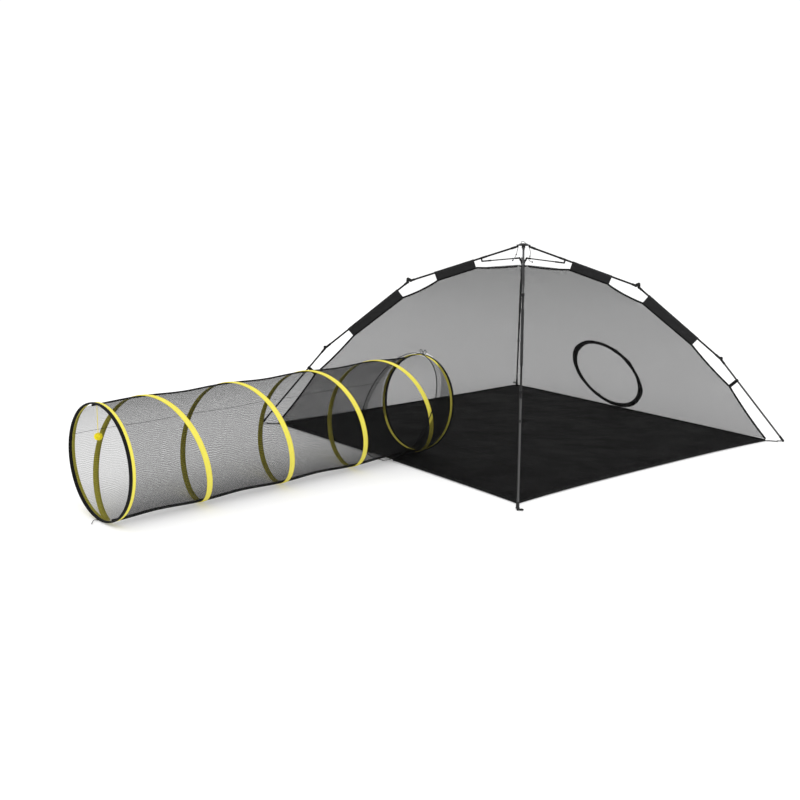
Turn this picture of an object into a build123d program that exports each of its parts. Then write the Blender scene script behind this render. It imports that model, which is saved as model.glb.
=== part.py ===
"""Pop-up mesh pet enclosure with a spring play tunnel.

A square floor carries a mesh canopy that hangs under four folding arms. The arms meet at a central hub and
fold with it like an umbrella, and a collapsible tunnel on a helical spring enters one wall of the canopy.
Millimetres. The origin is the middle of the floor on the ground. +X runs from the tunnel into the tent and
+Z runs up.
"""

from build123d import *
from math import atan2, cos, degrees, hypot, radians, sin, sqrt, tan
import os

os.makedirs("parts", exist_ok=True)

# ---- driving dimensions -------------------------------------------------------------------------------
FLOOR_HALF = 900.0  # half the side of the square floor
FLOOR_THICK = 1.5
HEM_WIDE = 8.0  # padded hem where the canopy meets the floor
HEM_HIGH = 10.0
CANOPY_SKIN = 1.5
# Half profile of a canopy wall: distance from the middle, height.
WALL_PROFILE = [(900, 12), (690, 385), (615, 491), (431, 699), (303, 793), (165, 860), (0, 873)]

# Arms. Each is drawn in its own upright plane as (distance from the middle, height).
ARM_AZIMUTHS = {1: 225, 2: 315, 3: 45, 4: 135}
HUB_PIVOT = (30.0, 970.0)
ELBOW_A = (580.0, 782.0)  # where the upper and middle pole lines cross
ELBOW_B = (1016.0, 422.0)  # where the middle and lower pole lines cross
FOOT_BALL = (1359.0, 6.0)
POLE_RADIUS = 4.75
POLE_WALL = 1.0
SOCKET_RADIUS = 6.0
BORE_GAP = 0.05
ELBOW_A_OFFSET = 12.5  # pivot's distance outside the pole lines
ELBOW_B_OFFSET = 6.25
SOCKET_A_START = 6.0  # from the crossing of two pole lines to a socket's end
SOCKET_B_START = 9.0
SOCKET_LONG = 24.0
SOCKET_ROOT = 11.0  # solid end of a socket
POLE_INSET = 11.5  # from a socket's solid end to the pole in it
PIN_RADIUS = 2.0
PIN_HOLE = 2.1
TONGUE_HALF = 2.9  # half thickness of an elbow's tongue
CHEEK_IN = 3.1
CHEEK_OUT = 5.6
HEAD_RADIUS = 4.2
HEAD_OUT = 7.0
HEAD_GAP = 0.1
LUG_A_ROOT = 9.5  # from the crossing of two pole lines to a lug's root
LUG_A_RADIUS = 7.5
LUG_B_ROOT = 6.0
LUG_B_RADIUS = 6.3

# Hub, runner and struts.
HUB_DISC_RADIUS = 36.0
HUB_DISC_LOW = 975.6
HUB_DISC_HIGH = 979.0
CAP_TOP = 986.0
CAP_RADIUS = 26.0
BOSS_RADIUS = 9.3
BOSS_LOW = 961.5
CLEVIS_IN = 2.7
CLEVIS_OUT = 5.2
CLEVIS_HEAD = 6.4
SHAFT_RADIUS = 7.0
SHAFT_LOW = 874.0
WASHER_RADIUS = 10.5
RUNNER_RADIUS = 12.0
RUNNER_LOW = 884.0
RUNNER_HIGH = 904.0
RUNNER_PIVOT = (18.0, 912.0)
RUNNER_EAR_IN = 2.5
RUNNER_EAR_OUT = 4.8
RUNNER_HEAD = 5.8
STRUT_RADIUS = 3.0
STRUT_TIP_RADIUS = 4.2
STRUT_TIP_START = 46.0  # from the outer pivot back to the thick tip's ends
STRUT_TIP_END = 28.0
BRACKET_ALONG = 193.0  # from the hub pivot to the strut bracket, along the upper pole
BRACKET_DROP = 17.0  # from the pole's line down to the strut's outer pivot
BRACKET_RADIUS = 5.6
BRACKET_LONG = 34.0
FERRULE_NEAR = 9.0  # from the hub pivot to the ferrule's ends
FERRULE_FAR = 33.0
TANG_HALF = 2.4  # half thickness of the ferrule's and bracket's tangs
FORK_IN = 6.2
FORK_OUT = 8.2
FORK_BUTTON = 1.2

# Fabric sleeves that hang the canopy from the poles: from, to, depth at each end, along the pole.
UPPER_SLEEVE = (232.0, 443.0, 36.5, 36.5)
MID_SLEEVE = (76.0, 409.0, 42.5, 37.0)
SLEEVE_OUT = 6.5
SLEEVE_IN = 5.0
SLEEVE_PANEL = 3.0

# Feet.
CLIP_ALONG = 136.0
CLIP_RADIUS = 7.3
FOOT_LENGTH = 30.0
TAB_HIGH = 4.0
TAB_LOW = 3.0
TAB_REACH = 16.0
TAB_EYE = 8.5
PEG_HOLE = 4.5

# Tunnel. Its axis is level and turned a little from the X axis.
TUNNEL_INNER_END = (-646.0, 44.0)
TUNNEL_LENGTH = 1719.0
TUNNEL_YAW = 4.3
TUNNEL_AXIS_HIGH = 238.0
MESH_RADIUS = 229.9
MESH_SKIN = 1.0
SPRING_RADIUS = 232.0
SPRING_WIRE = 1.5
SPRING_TURNS = 4
SPRING_INSET = 22.0
TAPE_RADIUS = 233.9
TAPE_THICK = 1.0
TAPE_WIDE = 25.0
RING_INNER = 228.0
RING_OUTER = 236.0
RING_WIDE = 15.0
INNER_RING_TILT = 6.5
COLLAR_RADIUS = 237.5
COLLAR_SKIN = 1.5
COLLAR_WIDE = 12.0
TOY_CORD = 105.0
TOY_BALL_RADIUS = 16.0

# Round door in the wall opposite the tunnel.
DOOR_RING_RADIUS = 225.0
DOOR_RING_WIRE = 7.0
DOOR_ALONG = 240.0  # from the wall's foot to the door's middle, up the slope
DOOR_SIDE = 75.0
DOOR_FLAP_RADIUS = 217.0
DOOR_HINGE_DOWN = 214.0  # from the door's middle to the roll it folds about
DOOR_HINGE_HALF = 20.0
ZIP_REST = 35.0  # from straight down to the slider's rest place, in degrees


# ---- placing ------------------------------------------------------------------------------------------
def outward(azimuth):
    """Level direction from the middle of the tent along an arm."""
    return Vector(cos(radians(azimuth)), sin(radians(azimuth)), 0)


def across(azimuth):
    """Level direction square to an arm. A turn about it by the right-hand rule lifts the arm."""
    return Vector(sin(radians(azimuth)), -cos(radians(azimuth)), 0)


def in_space(azimuth, spot):
    """A point of an arm's upright plane, in space."""
    return outward(azimuth) * spot[0] + Vector(0, 0, spot[1])


class Link:
    """A straight member between two points of an arm's upright plane."""

    def __init__(self, azimuth, start, end):
        self.start = in_space(azimuth, start)
        run = in_space(azimuth, end) - self.start
        self.length = run.length
        self.along = run.normalized()
        self.across = across(azimuth)

    def side(self, offset=0.0):
        """Sketch plane seen from the side: x along the member, y out of the arch, z across the arm."""
        origin = self.start + self.across * offset
        return Plane(origin=origin, x_dir=self.along, z_dir=self.across)

    def section(self, along):
        """Sketch plane square to the member, at a distance from its start."""
        return Plane(origin=self.start + self.along * along, x_dir=self.across, z_dir=self.along)


def elbow_lead(before, after, offset):
    """How far a pivot at the offset stands past the crossing of two pole lines, along the first one."""
    bend = radians(bend_at(before, after))
    return offset * tan(bend / 2)


def slope(start, end):
    """Angle of a member above the horizon, in degrees."""
    return degrees(atan2(end[1] - start[1], end[0] - start[0]))


def bend_at(before, after):
    """Angle between two members that follow each other."""
    return slope(*before) - slope(*after)


UPPER = (HUB_PIVOT, ELBOW_A)
MID = (ELBOW_A, ELBOW_B)
LOWER = (ELBOW_B, FOOT_BALL)
LEAD_A = elbow_lead(UPPER, MID, ELBOW_A_OFFSET)
LEAD_B = elbow_lead(MID, LOWER, ELBOW_B_OFFSET)
UPPER_SLOPE = radians(slope(*UPPER))
BRACKET_PIVOT = (
    HUB_PIVOT[0] + BRACKET_ALONG * cos(UPPER_SLOPE) + BRACKET_DROP * sin(UPPER_SLOPE),
    HUB_PIVOT[1] + BRACKET_ALONG * sin(UPPER_SLOPE) - BRACKET_DROP * cos(UPPER_SLOPE),
)


def finish(builder, name):
    """Names a finished piece and writes it."""
    builder.part.label = name
    export_step(builder.part, f"parts/{name}.step")


# ---- shapes that repeat on the arms -------------------------------------------------------------------
def tube(plane, length, radius, wall):
    """Adds a tube along a plane's normal."""
    with BuildSketch(plane) as profile:
        Circle(radius)
        Circle(radius - wall, mode=Mode.SUBTRACT)
    extrude(profile.sketch, amount=length)


def rod(plane, length, radius, mode=Mode.ADD):
    """Adds or cuts a round bar along a plane's normal."""
    with BuildSketch(plane) as profile:
        Circle(radius)
    extrude(profile.sketch, amount=length, mode=mode)


def lug(link, root, pivot, radius, low, high):
    """Adds a round-ended plate from root to pivot, both (along, out), from low to high across the arm."""
    run = (pivot[0] - root[0], pivot[1] - root[1])
    middle = ((root[0] + pivot[0]) / 2, (root[1] + pivot[1]) / 2)
    with BuildSketch(link.side(low)) as profile:
        with Locations(middle):
            SlotCenterToCenter(hypot(*run), 2 * radius, rotation=degrees(atan2(run[1], run[0])))
    extrude(profile.sketch, amount=high - low)


def cheeks(link, root, pivot, radius, inside, outside):
    """Adds a pair of lugs either side of the arm's plane."""
    lug(link, root, pivot, radius, inside, outside)
    lug(link, root, pivot, radius, -outside, -inside)


def pin_hole(link, pivot, half):
    """Cuts a pivot's hole right across the arm."""
    with BuildSketch(link.side(-half)) as profile:
        with Locations(pivot):
            Circle(PIN_HOLE)
    extrude(profile.sketch, amount=2 * half, mode=Mode.SUBTRACT)


def rivet(link, pivot, inside, outside):
    """Adds a pivot pin with a head at each end, as its own solid."""
    with BuildSketch(link.side(-outside)) as shank:
        with Locations(pivot):
            Circle(PIN_RADIUS)
    extrude(shank.sketch, amount=2 * outside)
    for low in (inside + HEAD_GAP, -outside):
        with BuildSketch(link.side(low)) as head:
            with Locations(pivot):
                Circle(HEAD_RADIUS)
        extrude(head.sketch, amount=outside - inside - HEAD_GAP)


def socket(link, near, far, root_at_near):
    """Adds a pole socket between two distances along a member, with a blind bore from its open end."""
    rod(link.section(near), far - near, SOCKET_RADIUS)
    bore_near = near + SOCKET_ROOT if root_at_near else near
    bore_far = far if root_at_near else far - SOCKET_ROOT
    rod(link.section(bore_near), bore_far - bore_near, POLE_RADIUS + BORE_GAP, Mode.SUBTRACT)


# ---- the four arms ------------------------------------------------------------------------------------
def build_strut(number, azimuth):
    """Strut from the runner to the upper pole's bracket. Its outer end is a fork."""
    link = Link(azimuth, RUNNER_PIVOT, BRACKET_PIVOT)
    end = link.length
    with BuildPart() as strut:
        lug(link, (0, 0), (20, 0), 4.0, -2.2, 2.2)
        rod(link.section(20), end - 20 - STRUT_TIP_END, STRUT_RADIUS)
        rod(link.section(end - STRUT_TIP_START), STRUT_TIP_START - STRUT_TIP_END, STRUT_TIP_RADIUS)
        with BuildSketch(link.side(-FORK_OUT)) as bridge:
            with Locations((end - STRUT_TIP_END + 1, 0)):
                Rectangle(6, 6.4)
        extrude(bridge.sketch, amount=2 * FORK_OUT)
        cheeks(link, (end - STRUT_TIP_END + 2, 0), (end, 0), 3.2, FORK_IN, FORK_OUT)
        for low in (FORK_OUT, -FORK_OUT - FORK_BUTTON):
            with BuildSketch(link.side(low)) as button:
                with Locations((end, 0)):
                    Circle(2.6)
            extrude(button.sketch, amount=FORK_BUTTON)
        pin_hole(link, (0, 0), 3)
    finish(strut, f"strut_{number}")


def build_upper_arm(number, azimuth):
    """Upper pole, its hub ferrule, strut bracket and elbow yoke, and its canopy sleeve."""
    link = Link(azimuth, *UPPER)
    end = link.length
    pivot = (end + LEAD_A, ELBOW_A_OFFSET)
    first, last = FERRULE_NEAR + POLE_INSET, end - SOCKET_A_START - POLE_INSET
    with BuildPart() as pole:
        tube(link.section(first), last - first, POLE_RADIUS, POLE_WALL)
    finish(pole, f"upper_pole_{number}")

    with BuildPart() as ferrule:
        socket(link, FERRULE_NEAR, FERRULE_FAR, root_at_near=True)
        lug(link, (0, 0), (FERRULE_NEAR + 3, 0), 5.0, -TANG_HALF, TANG_HALF)
        pin_hole(link, (0, 0), 3)
    with BuildPart() as bracket:
        rod(link.section(BRACKET_ALONG + 4 - BRACKET_LONG), BRACKET_LONG, BRACKET_RADIUS)
        lug(link, (BRACKET_ALONG, 0), (BRACKET_ALONG, -BRACKET_DROP), 4.0, -TANG_HALF, TANG_HALF)
        with BuildSketch(link.side(-FORK_IN + 0.2)) as bush:
            with Locations((BRACKET_ALONG, -BRACKET_DROP)):
                Circle(3.0)
        extrude(bush.sketch, amount=2 * FORK_IN - 0.4)
        bore_start = BRACKET_ALONG + 3 - BRACKET_LONG
        rod(link.section(bore_start), BRACKET_LONG + 2, POLE_RADIUS + BORE_GAP, Mode.SUBTRACT)
    with BuildPart() as yoke:
        socket_end = end - SOCKET_A_START
        socket(link, socket_end - SOCKET_LONG, socket_end, root_at_near=False)
        cheeks(link, (end - LUG_A_ROOT, 0), pivot, LUG_A_RADIUS, CHEEK_IN, CHEEK_OUT)
        pin_hole(link, pivot, CHEEK_OUT + 1)
    with BuildPart() as pin:
        rivet(link, pivot, CHEEK_OUT, HEAD_OUT)
    with BuildPart() as fittings:
        for piece in (ferrule, bracket, yoke, pin):
            add(piece.part)
    finish(fittings, f"upper_fittings_{number}")
    build_sleeve(link, UPPER_SLEEVE, f"upper_sleeve_{number}")


def build_mid_arm(number, azimuth):
    """Middle pole between the two elbows, with a tongue at one end and a yoke at the other."""
    link = Link(azimuth, *MID)
    end = link.length
    near, far = (-LEAD_A, ELBOW_A_OFFSET), (end + LEAD_B, ELBOW_B_OFFSET)
    first, last = SOCKET_A_START + POLE_INSET, end - SOCKET_B_START - POLE_INSET
    with BuildPart() as pole:
        tube(link.section(first), last - first, POLE_RADIUS, POLE_WALL)
    finish(pole, f"mid_pole_{number}")

    with BuildPart() as tongue:
        socket(link, SOCKET_A_START, SOCKET_A_START + SOCKET_LONG, root_at_near=True)
        lug(link, (LUG_A_ROOT, 0), near, LUG_A_RADIUS, -TONGUE_HALF, TONGUE_HALF)
        pin_hole(link, near, TONGUE_HALF + 1)
    with BuildPart() as yoke:
        socket_end = end - SOCKET_B_START
        socket(link, socket_end - SOCKET_LONG, socket_end, root_at_near=False)
        cheeks(link, (end - LUG_B_ROOT, 0), far, LUG_B_RADIUS, CHEEK_IN, CHEEK_OUT)
        pin_hole(link, far, CHEEK_OUT + 1)
    with BuildPart() as pin:
        rivet(link, far, CHEEK_OUT, HEAD_OUT)
    with BuildPart() as fittings:
        for piece in (tongue, yoke, pin):
            add(piece.part)
    finish(fittings, f"mid_fittings_{number}")
    build_sleeve(link, MID_SLEEVE, f"mid_sleeve_{number}")


def build_lower_arm(number, azimuth):
    """Lower pole with its elbow tongue, canopy clip and foot."""
    link = Link(azimuth, *LOWER)
    end = link.length
    pivot = (-LEAD_B, ELBOW_B_OFFSET)
    first = SOCKET_B_START + POLE_INSET
    with BuildPart() as pole:
        tube(link.section(first), end - 4.5 - first, POLE_RADIUS, POLE_WALL)
    finish(pole, f"lower_pole_{number}")

    with BuildPart() as tongue:
        socket(link, SOCKET_B_START, SOCKET_B_START + SOCKET_LONG, root_at_near=True)
        lug(link, (LUG_B_ROOT, 0), pivot, LUG_B_RADIUS, -TONGUE_HALF, TONGUE_HALF)
        pin_hole(link, pivot, TONGUE_HALF + 1)
    with BuildPart() as clip:
        with BuildSketch(link.section(CLIP_ALONG)):
            Circle(CLIP_RADIUS)
            Circle(POLE_RADIUS + BORE_GAP, mode=Mode.SUBTRACT)
        extrude(amount=10)
    with BuildPart() as fittings:
        for piece in (tongue, clip):
            add(piece.part)
    finish(fittings, f"lower_fittings_{number}")

    ball = in_space(azimuth, FOOT_BALL)
    tab_plane = Plane(
        origin=Vector(ball.X, ball.Y, TAB_LOW), x_dir=across(azimuth) * -1, z_dir=(0, 0, 1)
    )
    with BuildPart() as foot:
        rod(link.section(end - FOOT_LENGTH), FOOT_LENGTH, SOCKET_RADIUS)
        with Locations(link.section(end)):
            Sphere(SOCKET_RADIUS)
        with BuildSketch(tab_plane):
            with Locations((TAB_REACH / 2, 0)):
                Rectangle(TAB_REACH, 9)
            with Locations((TAB_REACH, 0)):
                Circle(TAB_EYE)
        extrude(amount=TAB_HIGH)
        with BuildSketch(tab_plane):
            with Locations((TAB_REACH, 0)):
                Circle(PEG_HOLE)
        extrude(amount=TAB_HIGH, mode=Mode.SUBTRACT)
        rod(link.section(end - FOOT_LENGTH), FOOT_LENGTH - 4, POLE_RADIUS + BORE_GAP, Mode.SUBTRACT)
    finish(foot, f"foot_{number}")


def build_sleeve(link, shape, name):
    """Fabric sleeve round a pole, with the flat panel that hangs down to the canopy's ridge."""
    near, far, near_depth, far_depth = shape
    inner_edge = -SLEEVE_IN - 0.5
    with BuildPart() as sleeve:
        with BuildSketch(link.side()):
            with BuildLine():
                Polyline(
                    (near, inner_edge),
                    (far, inner_edge),
                    (far - 8, -far_depth),
                    (near - 2, -near_depth),
                    close=True,
                )
            make_face()
        extrude(amount=SLEEVE_PANEL / 2, both=True)
        rod(link.section(near), far - near, SLEEVE_OUT)
        rod(link.section(near), far - near, SLEEVE_IN, Mode.SUBTRACT)
    finish(sleeve, name)


# ---- hub ----------------------------------------------------------------------------------------------
def clevis_link(azimuth, pivot):
    """A level member that starts at a pivot of the hub or the runner."""
    return Link(azimuth, pivot, (pivot[0] + 1, pivot[1]))


def clevis_pins(pivot, inside, outside):
    """One headed pin for each arm at a pivot of the hub or the runner."""
    pins = []
    for azimuth in ARM_AZIMUTHS.values():
        with BuildPart() as pin:
            rivet(clevis_link(azimuth, pivot), (0, 0), inside, outside)
        pins.append(pin.part)
    return pins


def disc(height, radius, thick, mode=Mode.ADD, taper=0):
    """Adds or cuts a round plate round the tent's upright axis."""
    with BuildSketch(Plane.XY.offset(height)) as profile:
        Circle(radius)
    extrude(profile.sketch, amount=thick, mode=mode, taper=taper)


def build_hub():
    """Hub head with four clevises, its cap and the guide shaft."""
    with BuildPart() as head:
        disc(HUB_DISC_LOW, HUB_DISC_RADIUS, HUB_DISC_HIGH - HUB_DISC_LOW)
        disc(BOSS_LOW, BOSS_RADIUS, HUB_DISC_LOW - BOSS_LOW)
        disc(BOSS_LOW, SHAFT_RADIUS + BORE_GAP, HUB_DISC_LOW - BOSS_LOW - 3, Mode.SUBTRACT)
        for azimuth in ARM_AZIMUTHS.values():
            link = clevis_link(azimuth, HUB_PIVOT)
            cheeks(link, (0, 5), (0, 0), 5.0, CLEVIS_IN, CLEVIS_OUT)
            pin_hole(link, (0, 0), CLEVIS_OUT + 1)
        disc(HUB_DISC_HIGH, HUB_DISC_RADIUS, 6, Mode.SUBTRACT)
    pins = clevis_pins(HUB_PIVOT, CLEVIS_OUT, CLEVIS_HEAD)
    with BuildPart() as hub_head:
        add(head.part)
        add(pins)
    finish(hub_head, "hub_head")

    with BuildPart() as cap:
        disc(HUB_DISC_HIGH, CAP_RADIUS, 2)
        disc(HUB_DISC_HIGH + 2, CAP_RADIUS, CAP_TOP - HUB_DISC_HIGH - 2, taper=60)
    finish(cap, "hub_cap")

    with BuildPart() as shaft:
        tube(Plane.XY.offset(SHAFT_LOW), HUB_DISC_LOW - 4 - SHAFT_LOW, SHAFT_RADIUS, 1.5)
        tube(Plane.XY.offset(SHAFT_LOW), 3, WASHER_RADIUS, WASHER_RADIUS - SHAFT_RADIUS + 1.5)
    finish(shaft, "hub_shaft")


def build_release_cords():
    """Carrying loop over the cap and two knotted cords that hang beside the shaft."""
    loop_points = [(-15, 0, 988), (-10, 4, 994), (4, 6, 995), (14, 2, 988)]
    left_points = [(-33, 2, 973.5), (-42, 3, 950), (-50, 0, 932), (-66, -4, 915), (-80, -6, 904)]
    right_points = [(2, -33, 973.5), (5, -44, 948), (0, -48, 925), (-4, -46, 905), (6, -60, 896)]
    with BuildPart() as cords:
        for points in (loop_points, left_points, right_points):
            with BuildLine() as path:
                Spline(*points)
            with BuildSketch(Plane(origin=path.line @ 0, z_dir=path.line % 0)):
                Circle(1.0)
            sweep(path=path.line)
        for bead in (left_points[2], right_points[2]):
            with Locations(bead):
                Sphere(3.2)
    finish(cords, "release_cords")


def build_runner():
    """Collar that slides on the shaft and carries the struts' inner pivots."""
    with BuildPart() as collar:
        disc(RUNNER_LOW, RUNNER_RADIUS, RUNNER_HIGH - RUNNER_LOW)
        for azimuth in ARM_AZIMUTHS.values():
            link = clevis_link(azimuth, RUNNER_PIVOT)
            cheeks(link, (-7, -14), (0, 0), 4.5, RUNNER_EAR_IN, RUNNER_EAR_OUT)
            pin_hole(link, (0, 0), RUNNER_EAR_OUT + 1)
        disc(RUNNER_LOW, SHAFT_RADIUS + 0.1, RUNNER_PIVOT[1] + 10 - RUNNER_LOW, Mode.SUBTRACT)
    pins = clevis_pins(RUNNER_PIVOT, RUNNER_EAR_OUT, RUNNER_HEAD)
    with BuildPart() as runner:
        add(collar.part)
        add(pins)
    finish(runner, "runner")


# ---- tunnel -------------------------------------------------------------------------------------------
TUNNEL_WAY = Vector(cos(radians(TUNNEL_YAW)), sin(radians(TUNNEL_YAW)), 0)
TUNNEL_INNER = Vector(*TUNNEL_INNER_END, TUNNEL_AXIS_HIGH)
TUNNEL_MOUTH = TUNNEL_INNER - TUNNEL_WAY * TUNNEL_LENGTH


def tunnel_plane(along):
    """Plane square to the tunnel's axis at a distance from the mouth: x down, y left, z into the tent."""
    return Plane(origin=TUNNEL_MOUTH + TUNNEL_WAY * along, x_dir=(0, 0, -1), z_dir=TUNNEL_WAY)


INNER_RING_PLANE = tunnel_plane(TUNNEL_LENGTH).rotated((0, -INNER_RING_TILT, 0))


def build_hoop(plane, name):
    """Spring hoop in its fabric binding."""
    with BuildPart() as hoop:
        with BuildSketch(plane.offset(-RING_WIDE / 2)):
            Circle(RING_OUTER)
            Circle(RING_INNER, mode=Mode.SUBTRACT)
        extrude(amount=RING_WIDE)
        fillet(hoop.edges().filter_by(GeomType.CIRCLE), 3)
    finish(hoop, name)


def build_tunnel():
    """Mesh tube, the helical spring outside it, the tape over the spring, and the two end hoops."""
    with BuildPart() as mesh:
        with BuildSketch(tunnel_plane(RING_WIDE / 2 + 1)):
            Circle(MESH_RADIUS)
            Circle(MESH_RADIUS - MESH_SKIN, mode=Mode.SUBTRACT)
        extrude(amount=TUNNEL_LENGTH + 60)
        split(bisect_by=INNER_RING_PLANE.offset(-RING_WIDE / 2 - 1), keep=Keep.BOTTOM)
    finish(mesh, "tunnel_mesh")

    lean = RING_OUTER * sin(radians(INNER_RING_TILT))
    rise = TUNNEL_LENGTH - lean - 2 * SPRING_INSET
    start = tunnel_plane(SPRING_INSET)
    coil = start.location * Helix(rise / SPRING_TURNS, rise, SPRING_RADIUS)
    with BuildPart() as spring:
        with BuildSketch(Plane(origin=coil @ 0, z_dir=coil % 0)):
            Circle(SPRING_WIRE)
        sweep(path=coil, is_frenet=True)
    finish(spring, "tunnel_spring")

    band = start.location * Helix(rise / SPRING_TURNS, rise, TAPE_RADIUS + TAPE_THICK / 2)
    with BuildPart() as tape:
        with BuildSketch(Plane(origin=band @ 0, x_dir=(0, 0, -1), z_dir=band % 0)):
            Rectangle(TAPE_THICK, TAPE_WIDE)
        sweep(path=band, is_frenet=True)
    finish(tape, "tunnel_tape")

    build_hoop(tunnel_plane(0), "mouth_ring")
    build_hoop(INNER_RING_PLANE, "inner_ring")


def build_toy():
    """Ball on a cord that hangs from the top of the mouth."""
    top = TUNNEL_MOUTH + Vector(0, 0, RING_INNER - 2.5)
    knot = Plane(origin=top - tunnel_plane(0).y_dir * 3, z_dir=tunnel_plane(0).y_dir)
    with BuildPart() as cord:
        rod(Plane(origin=top - Vector(0, 0, TOY_CORD), z_dir=(0, 0, 1)), TOY_CORD, 1.25)
        rod(knot, 6, 2.0)
    finish(cord, "toy_cord")
    with BuildPart() as ball:
        with Locations(top - Vector(0, 0, TOY_CORD + TOY_BALL_RADIUS + 0.2)):
            Sphere(TOY_BALL_RADIUS)
    finish(ball, "toy_ball")


# ---- canopy, floor and door ---------------------------------------------------------------------------
WALL_FOOT = Vector(WALL_PROFILE[0][0], 0, WALL_PROFILE[0][1])
FOOT_RUN = 20.0
WALL_LEAN = atan2(WALL_PROFILE[0][0] - WALL_PROFILE[1][0], WALL_PROFILE[1][1] - WALL_PROFILE[0][1])
DOOR_CENTRE = WALL_FOOT + Vector(-DOOR_ALONG * sin(WALL_LEAN), DOOR_SIDE, DOOR_ALONG * cos(WALL_LEAN))
DOOR_PLANE = Plane(origin=DOOR_CENTRE, x_dir=(0, 1, 0), z_dir=(cos(WALL_LEAN), 0, sin(WALL_LEAN)))
TUNNEL_WALL = Plane(
    origin=(-WALL_FOOT.X, 0, WALL_FOOT.Z), x_dir=(0, 1, 0), z_dir=(-cos(WALL_LEAN), 0, sin(WALL_LEAN))
)


def square_tent(inset):
    """Solid with the canopy's outline: where two crossed roof profiles overlap.

    The inset one is cut from the full one, so its walls run on below the foot to leave the canopy open there.
    """
    right = [(x - inset if x else 0, z - (inset if x < 400 else 0)) for x, z in WALL_PROFILE]
    if inset:
        foot_x, foot_z = right[0]
        right[0] = (foot_x + FOOT_RUN * tan(WALL_LEAN), foot_z - FOOT_RUN)
    left = [(-x, z) for x, z in reversed(right[:-1])]
    with BuildPart() as solid:
        with BuildSketch(Plane.XZ):
            with BuildLine():
                Polyline(*right, *left, close=True)
            make_face()
        extrude(amount=FLOOR_HALF + 50, both=True)
        with BuildSketch(Plane.YZ):
            with BuildLine():
                Polyline(*right, *left, close=True)
            make_face()
        extrude(amount=FLOOR_HALF + 50, both=True, mode=Mode.INTERSECT)
    return solid.part


def build_canopy():
    """Mesh canopy of four walls in one skin, with the tunnel's port and the door's opening."""
    with BuildPart() as canopy:
        add(square_tent(0))
        add(square_tent(CANOPY_SKIN), mode=Mode.SUBTRACT)
        rod(tunnel_plane(TUNNEL_LENGTH - 400), 700, COLLAR_RADIUS, Mode.SUBTRACT)
        rod(DOOR_PLANE.offset(-60), 120, DOOR_RING_RADIUS + DOOR_RING_WIRE + 1, Mode.SUBTRACT)
    finish(canopy, "mesh_canopy")

    with BuildPart() as collar:
        with BuildSketch(tunnel_plane(TUNNEL_LENGTH - 600)):
            Circle(COLLAR_RADIUS + COLLAR_SKIN)
            Circle(COLLAR_RADIUS, mode=Mode.SUBTRACT)
        extrude(amount=900)
        split(bisect_by=TUNNEL_WALL.offset(1.5), keep=Keep.TOP)
        split(bisect_by=TUNNEL_WALL.offset(1.5 + COLLAR_WIDE), keep=Keep.BOTTOM)
        split(bisect_by=Plane.XY.offset(0.2), keep=Keep.TOP)
    finish(collar, "port_collar")


def build_floor():
    """Floor sheet, the padded hem round it and the webbing that ties it to the arms."""
    with BuildPart() as sheet:
        with BuildSketch(Plane.XY):
            Rectangle(2 * FLOOR_HALF, 2 * FLOOR_HALF)
        extrude(amount=FLOOR_THICK)
    finish(sheet, "floor_sheet")

    with BuildPart() as hem:
        with BuildSketch(Plane.XY.offset(FLOOR_THICK)):
            Rectangle(2 * FLOOR_HALF, 2 * FLOOR_HALF)
            Rectangle(2 * (FLOOR_HALF - HEM_WIDE), 2 * (FLOOR_HALF - HEM_WIDE), mode=Mode.SUBTRACT)
        extrude(amount=HEM_HIGH)
        rod(tunnel_plane(TUNNEL_LENGTH - 400), 700, COLLAR_RADIUS + COLLAR_SKIN + 0.5, Mode.SUBTRACT)
    finish(hem, "floor_hem")

    corner = FLOOR_HALF * sqrt(2)
    with BuildPart() as straps:
        for azimuth in ARM_AZIMUTHS.values():
            strap = Plane(origin=outward(azimuth) * (corner + 2), x_dir=outward(azimuth), z_dir=(0, 0, 1))
            with BuildSketch(strap.offset(1)):
                with Locations((29, 0)):
                    Rectangle(58, 15)
            extrude(amount=2)
            link = Link(azimuth, *LOWER)
            with BuildSketch(link.side(-1)):
                with Locations((CLIP_ALONG + 5, -CLIP_RADIUS - 20)):
                    Rectangle(10, 36)
            extrude(amount=2)
    finish(straps, "corner_straps")


def build_door():
    """Round zipped door: its hoop, the mesh flap inside it and the zip's slider."""
    with BuildPart() as hoop:
        wire = Plane(origin=DOOR_CENTRE + Vector(0, DOOR_RING_RADIUS, 0), z_dir=DOOR_PLANE.y_dir)
        with BuildSketch(wire):
            Circle(DOOR_RING_WIRE)
        revolve(axis=Axis(DOOR_CENTRE, DOOR_PLANE.z_dir))
    finish(hoop, "door_ring")

    with BuildPart() as flap:
        rod(DOOR_PLANE.offset(-CANOPY_SKIN / 2), CANOPY_SKIN, DOOR_FLAP_RADIUS)
        roll_end = DOOR_CENTRE - DOOR_PLANE.y_dir * DOOR_HINGE_DOWN - Vector(0, DOOR_HINGE_HALF, 0)
        rod(Plane(origin=roll_end, z_dir=(0, 1, 0)), 2 * DOOR_HINGE_HALF, 1.8)
    finish(flap, "door_flap")

    seat_x = DOOR_RING_RADIUS * sin(radians(ZIP_REST))
    seat_y = -DOOR_RING_RADIUS * cos(radians(ZIP_REST))
    with BuildPart() as slider:
        with BuildSketch(DOOR_PLANE.offset(DOOR_RING_WIRE + 0.6)):
            with Locations((seat_x, seat_y)):
                RectangleRounded(9, 14, 2)
        extrude(amount=4)
        with BuildSketch(DOOR_PLANE.offset(DOOR_RING_WIRE + 4.6)):
            with Locations((seat_x, seat_y - 8)):
                RectangleRounded(7, 26, 3)
        extrude(amount=1.6)
    finish(slider, "zip_slider")


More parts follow.
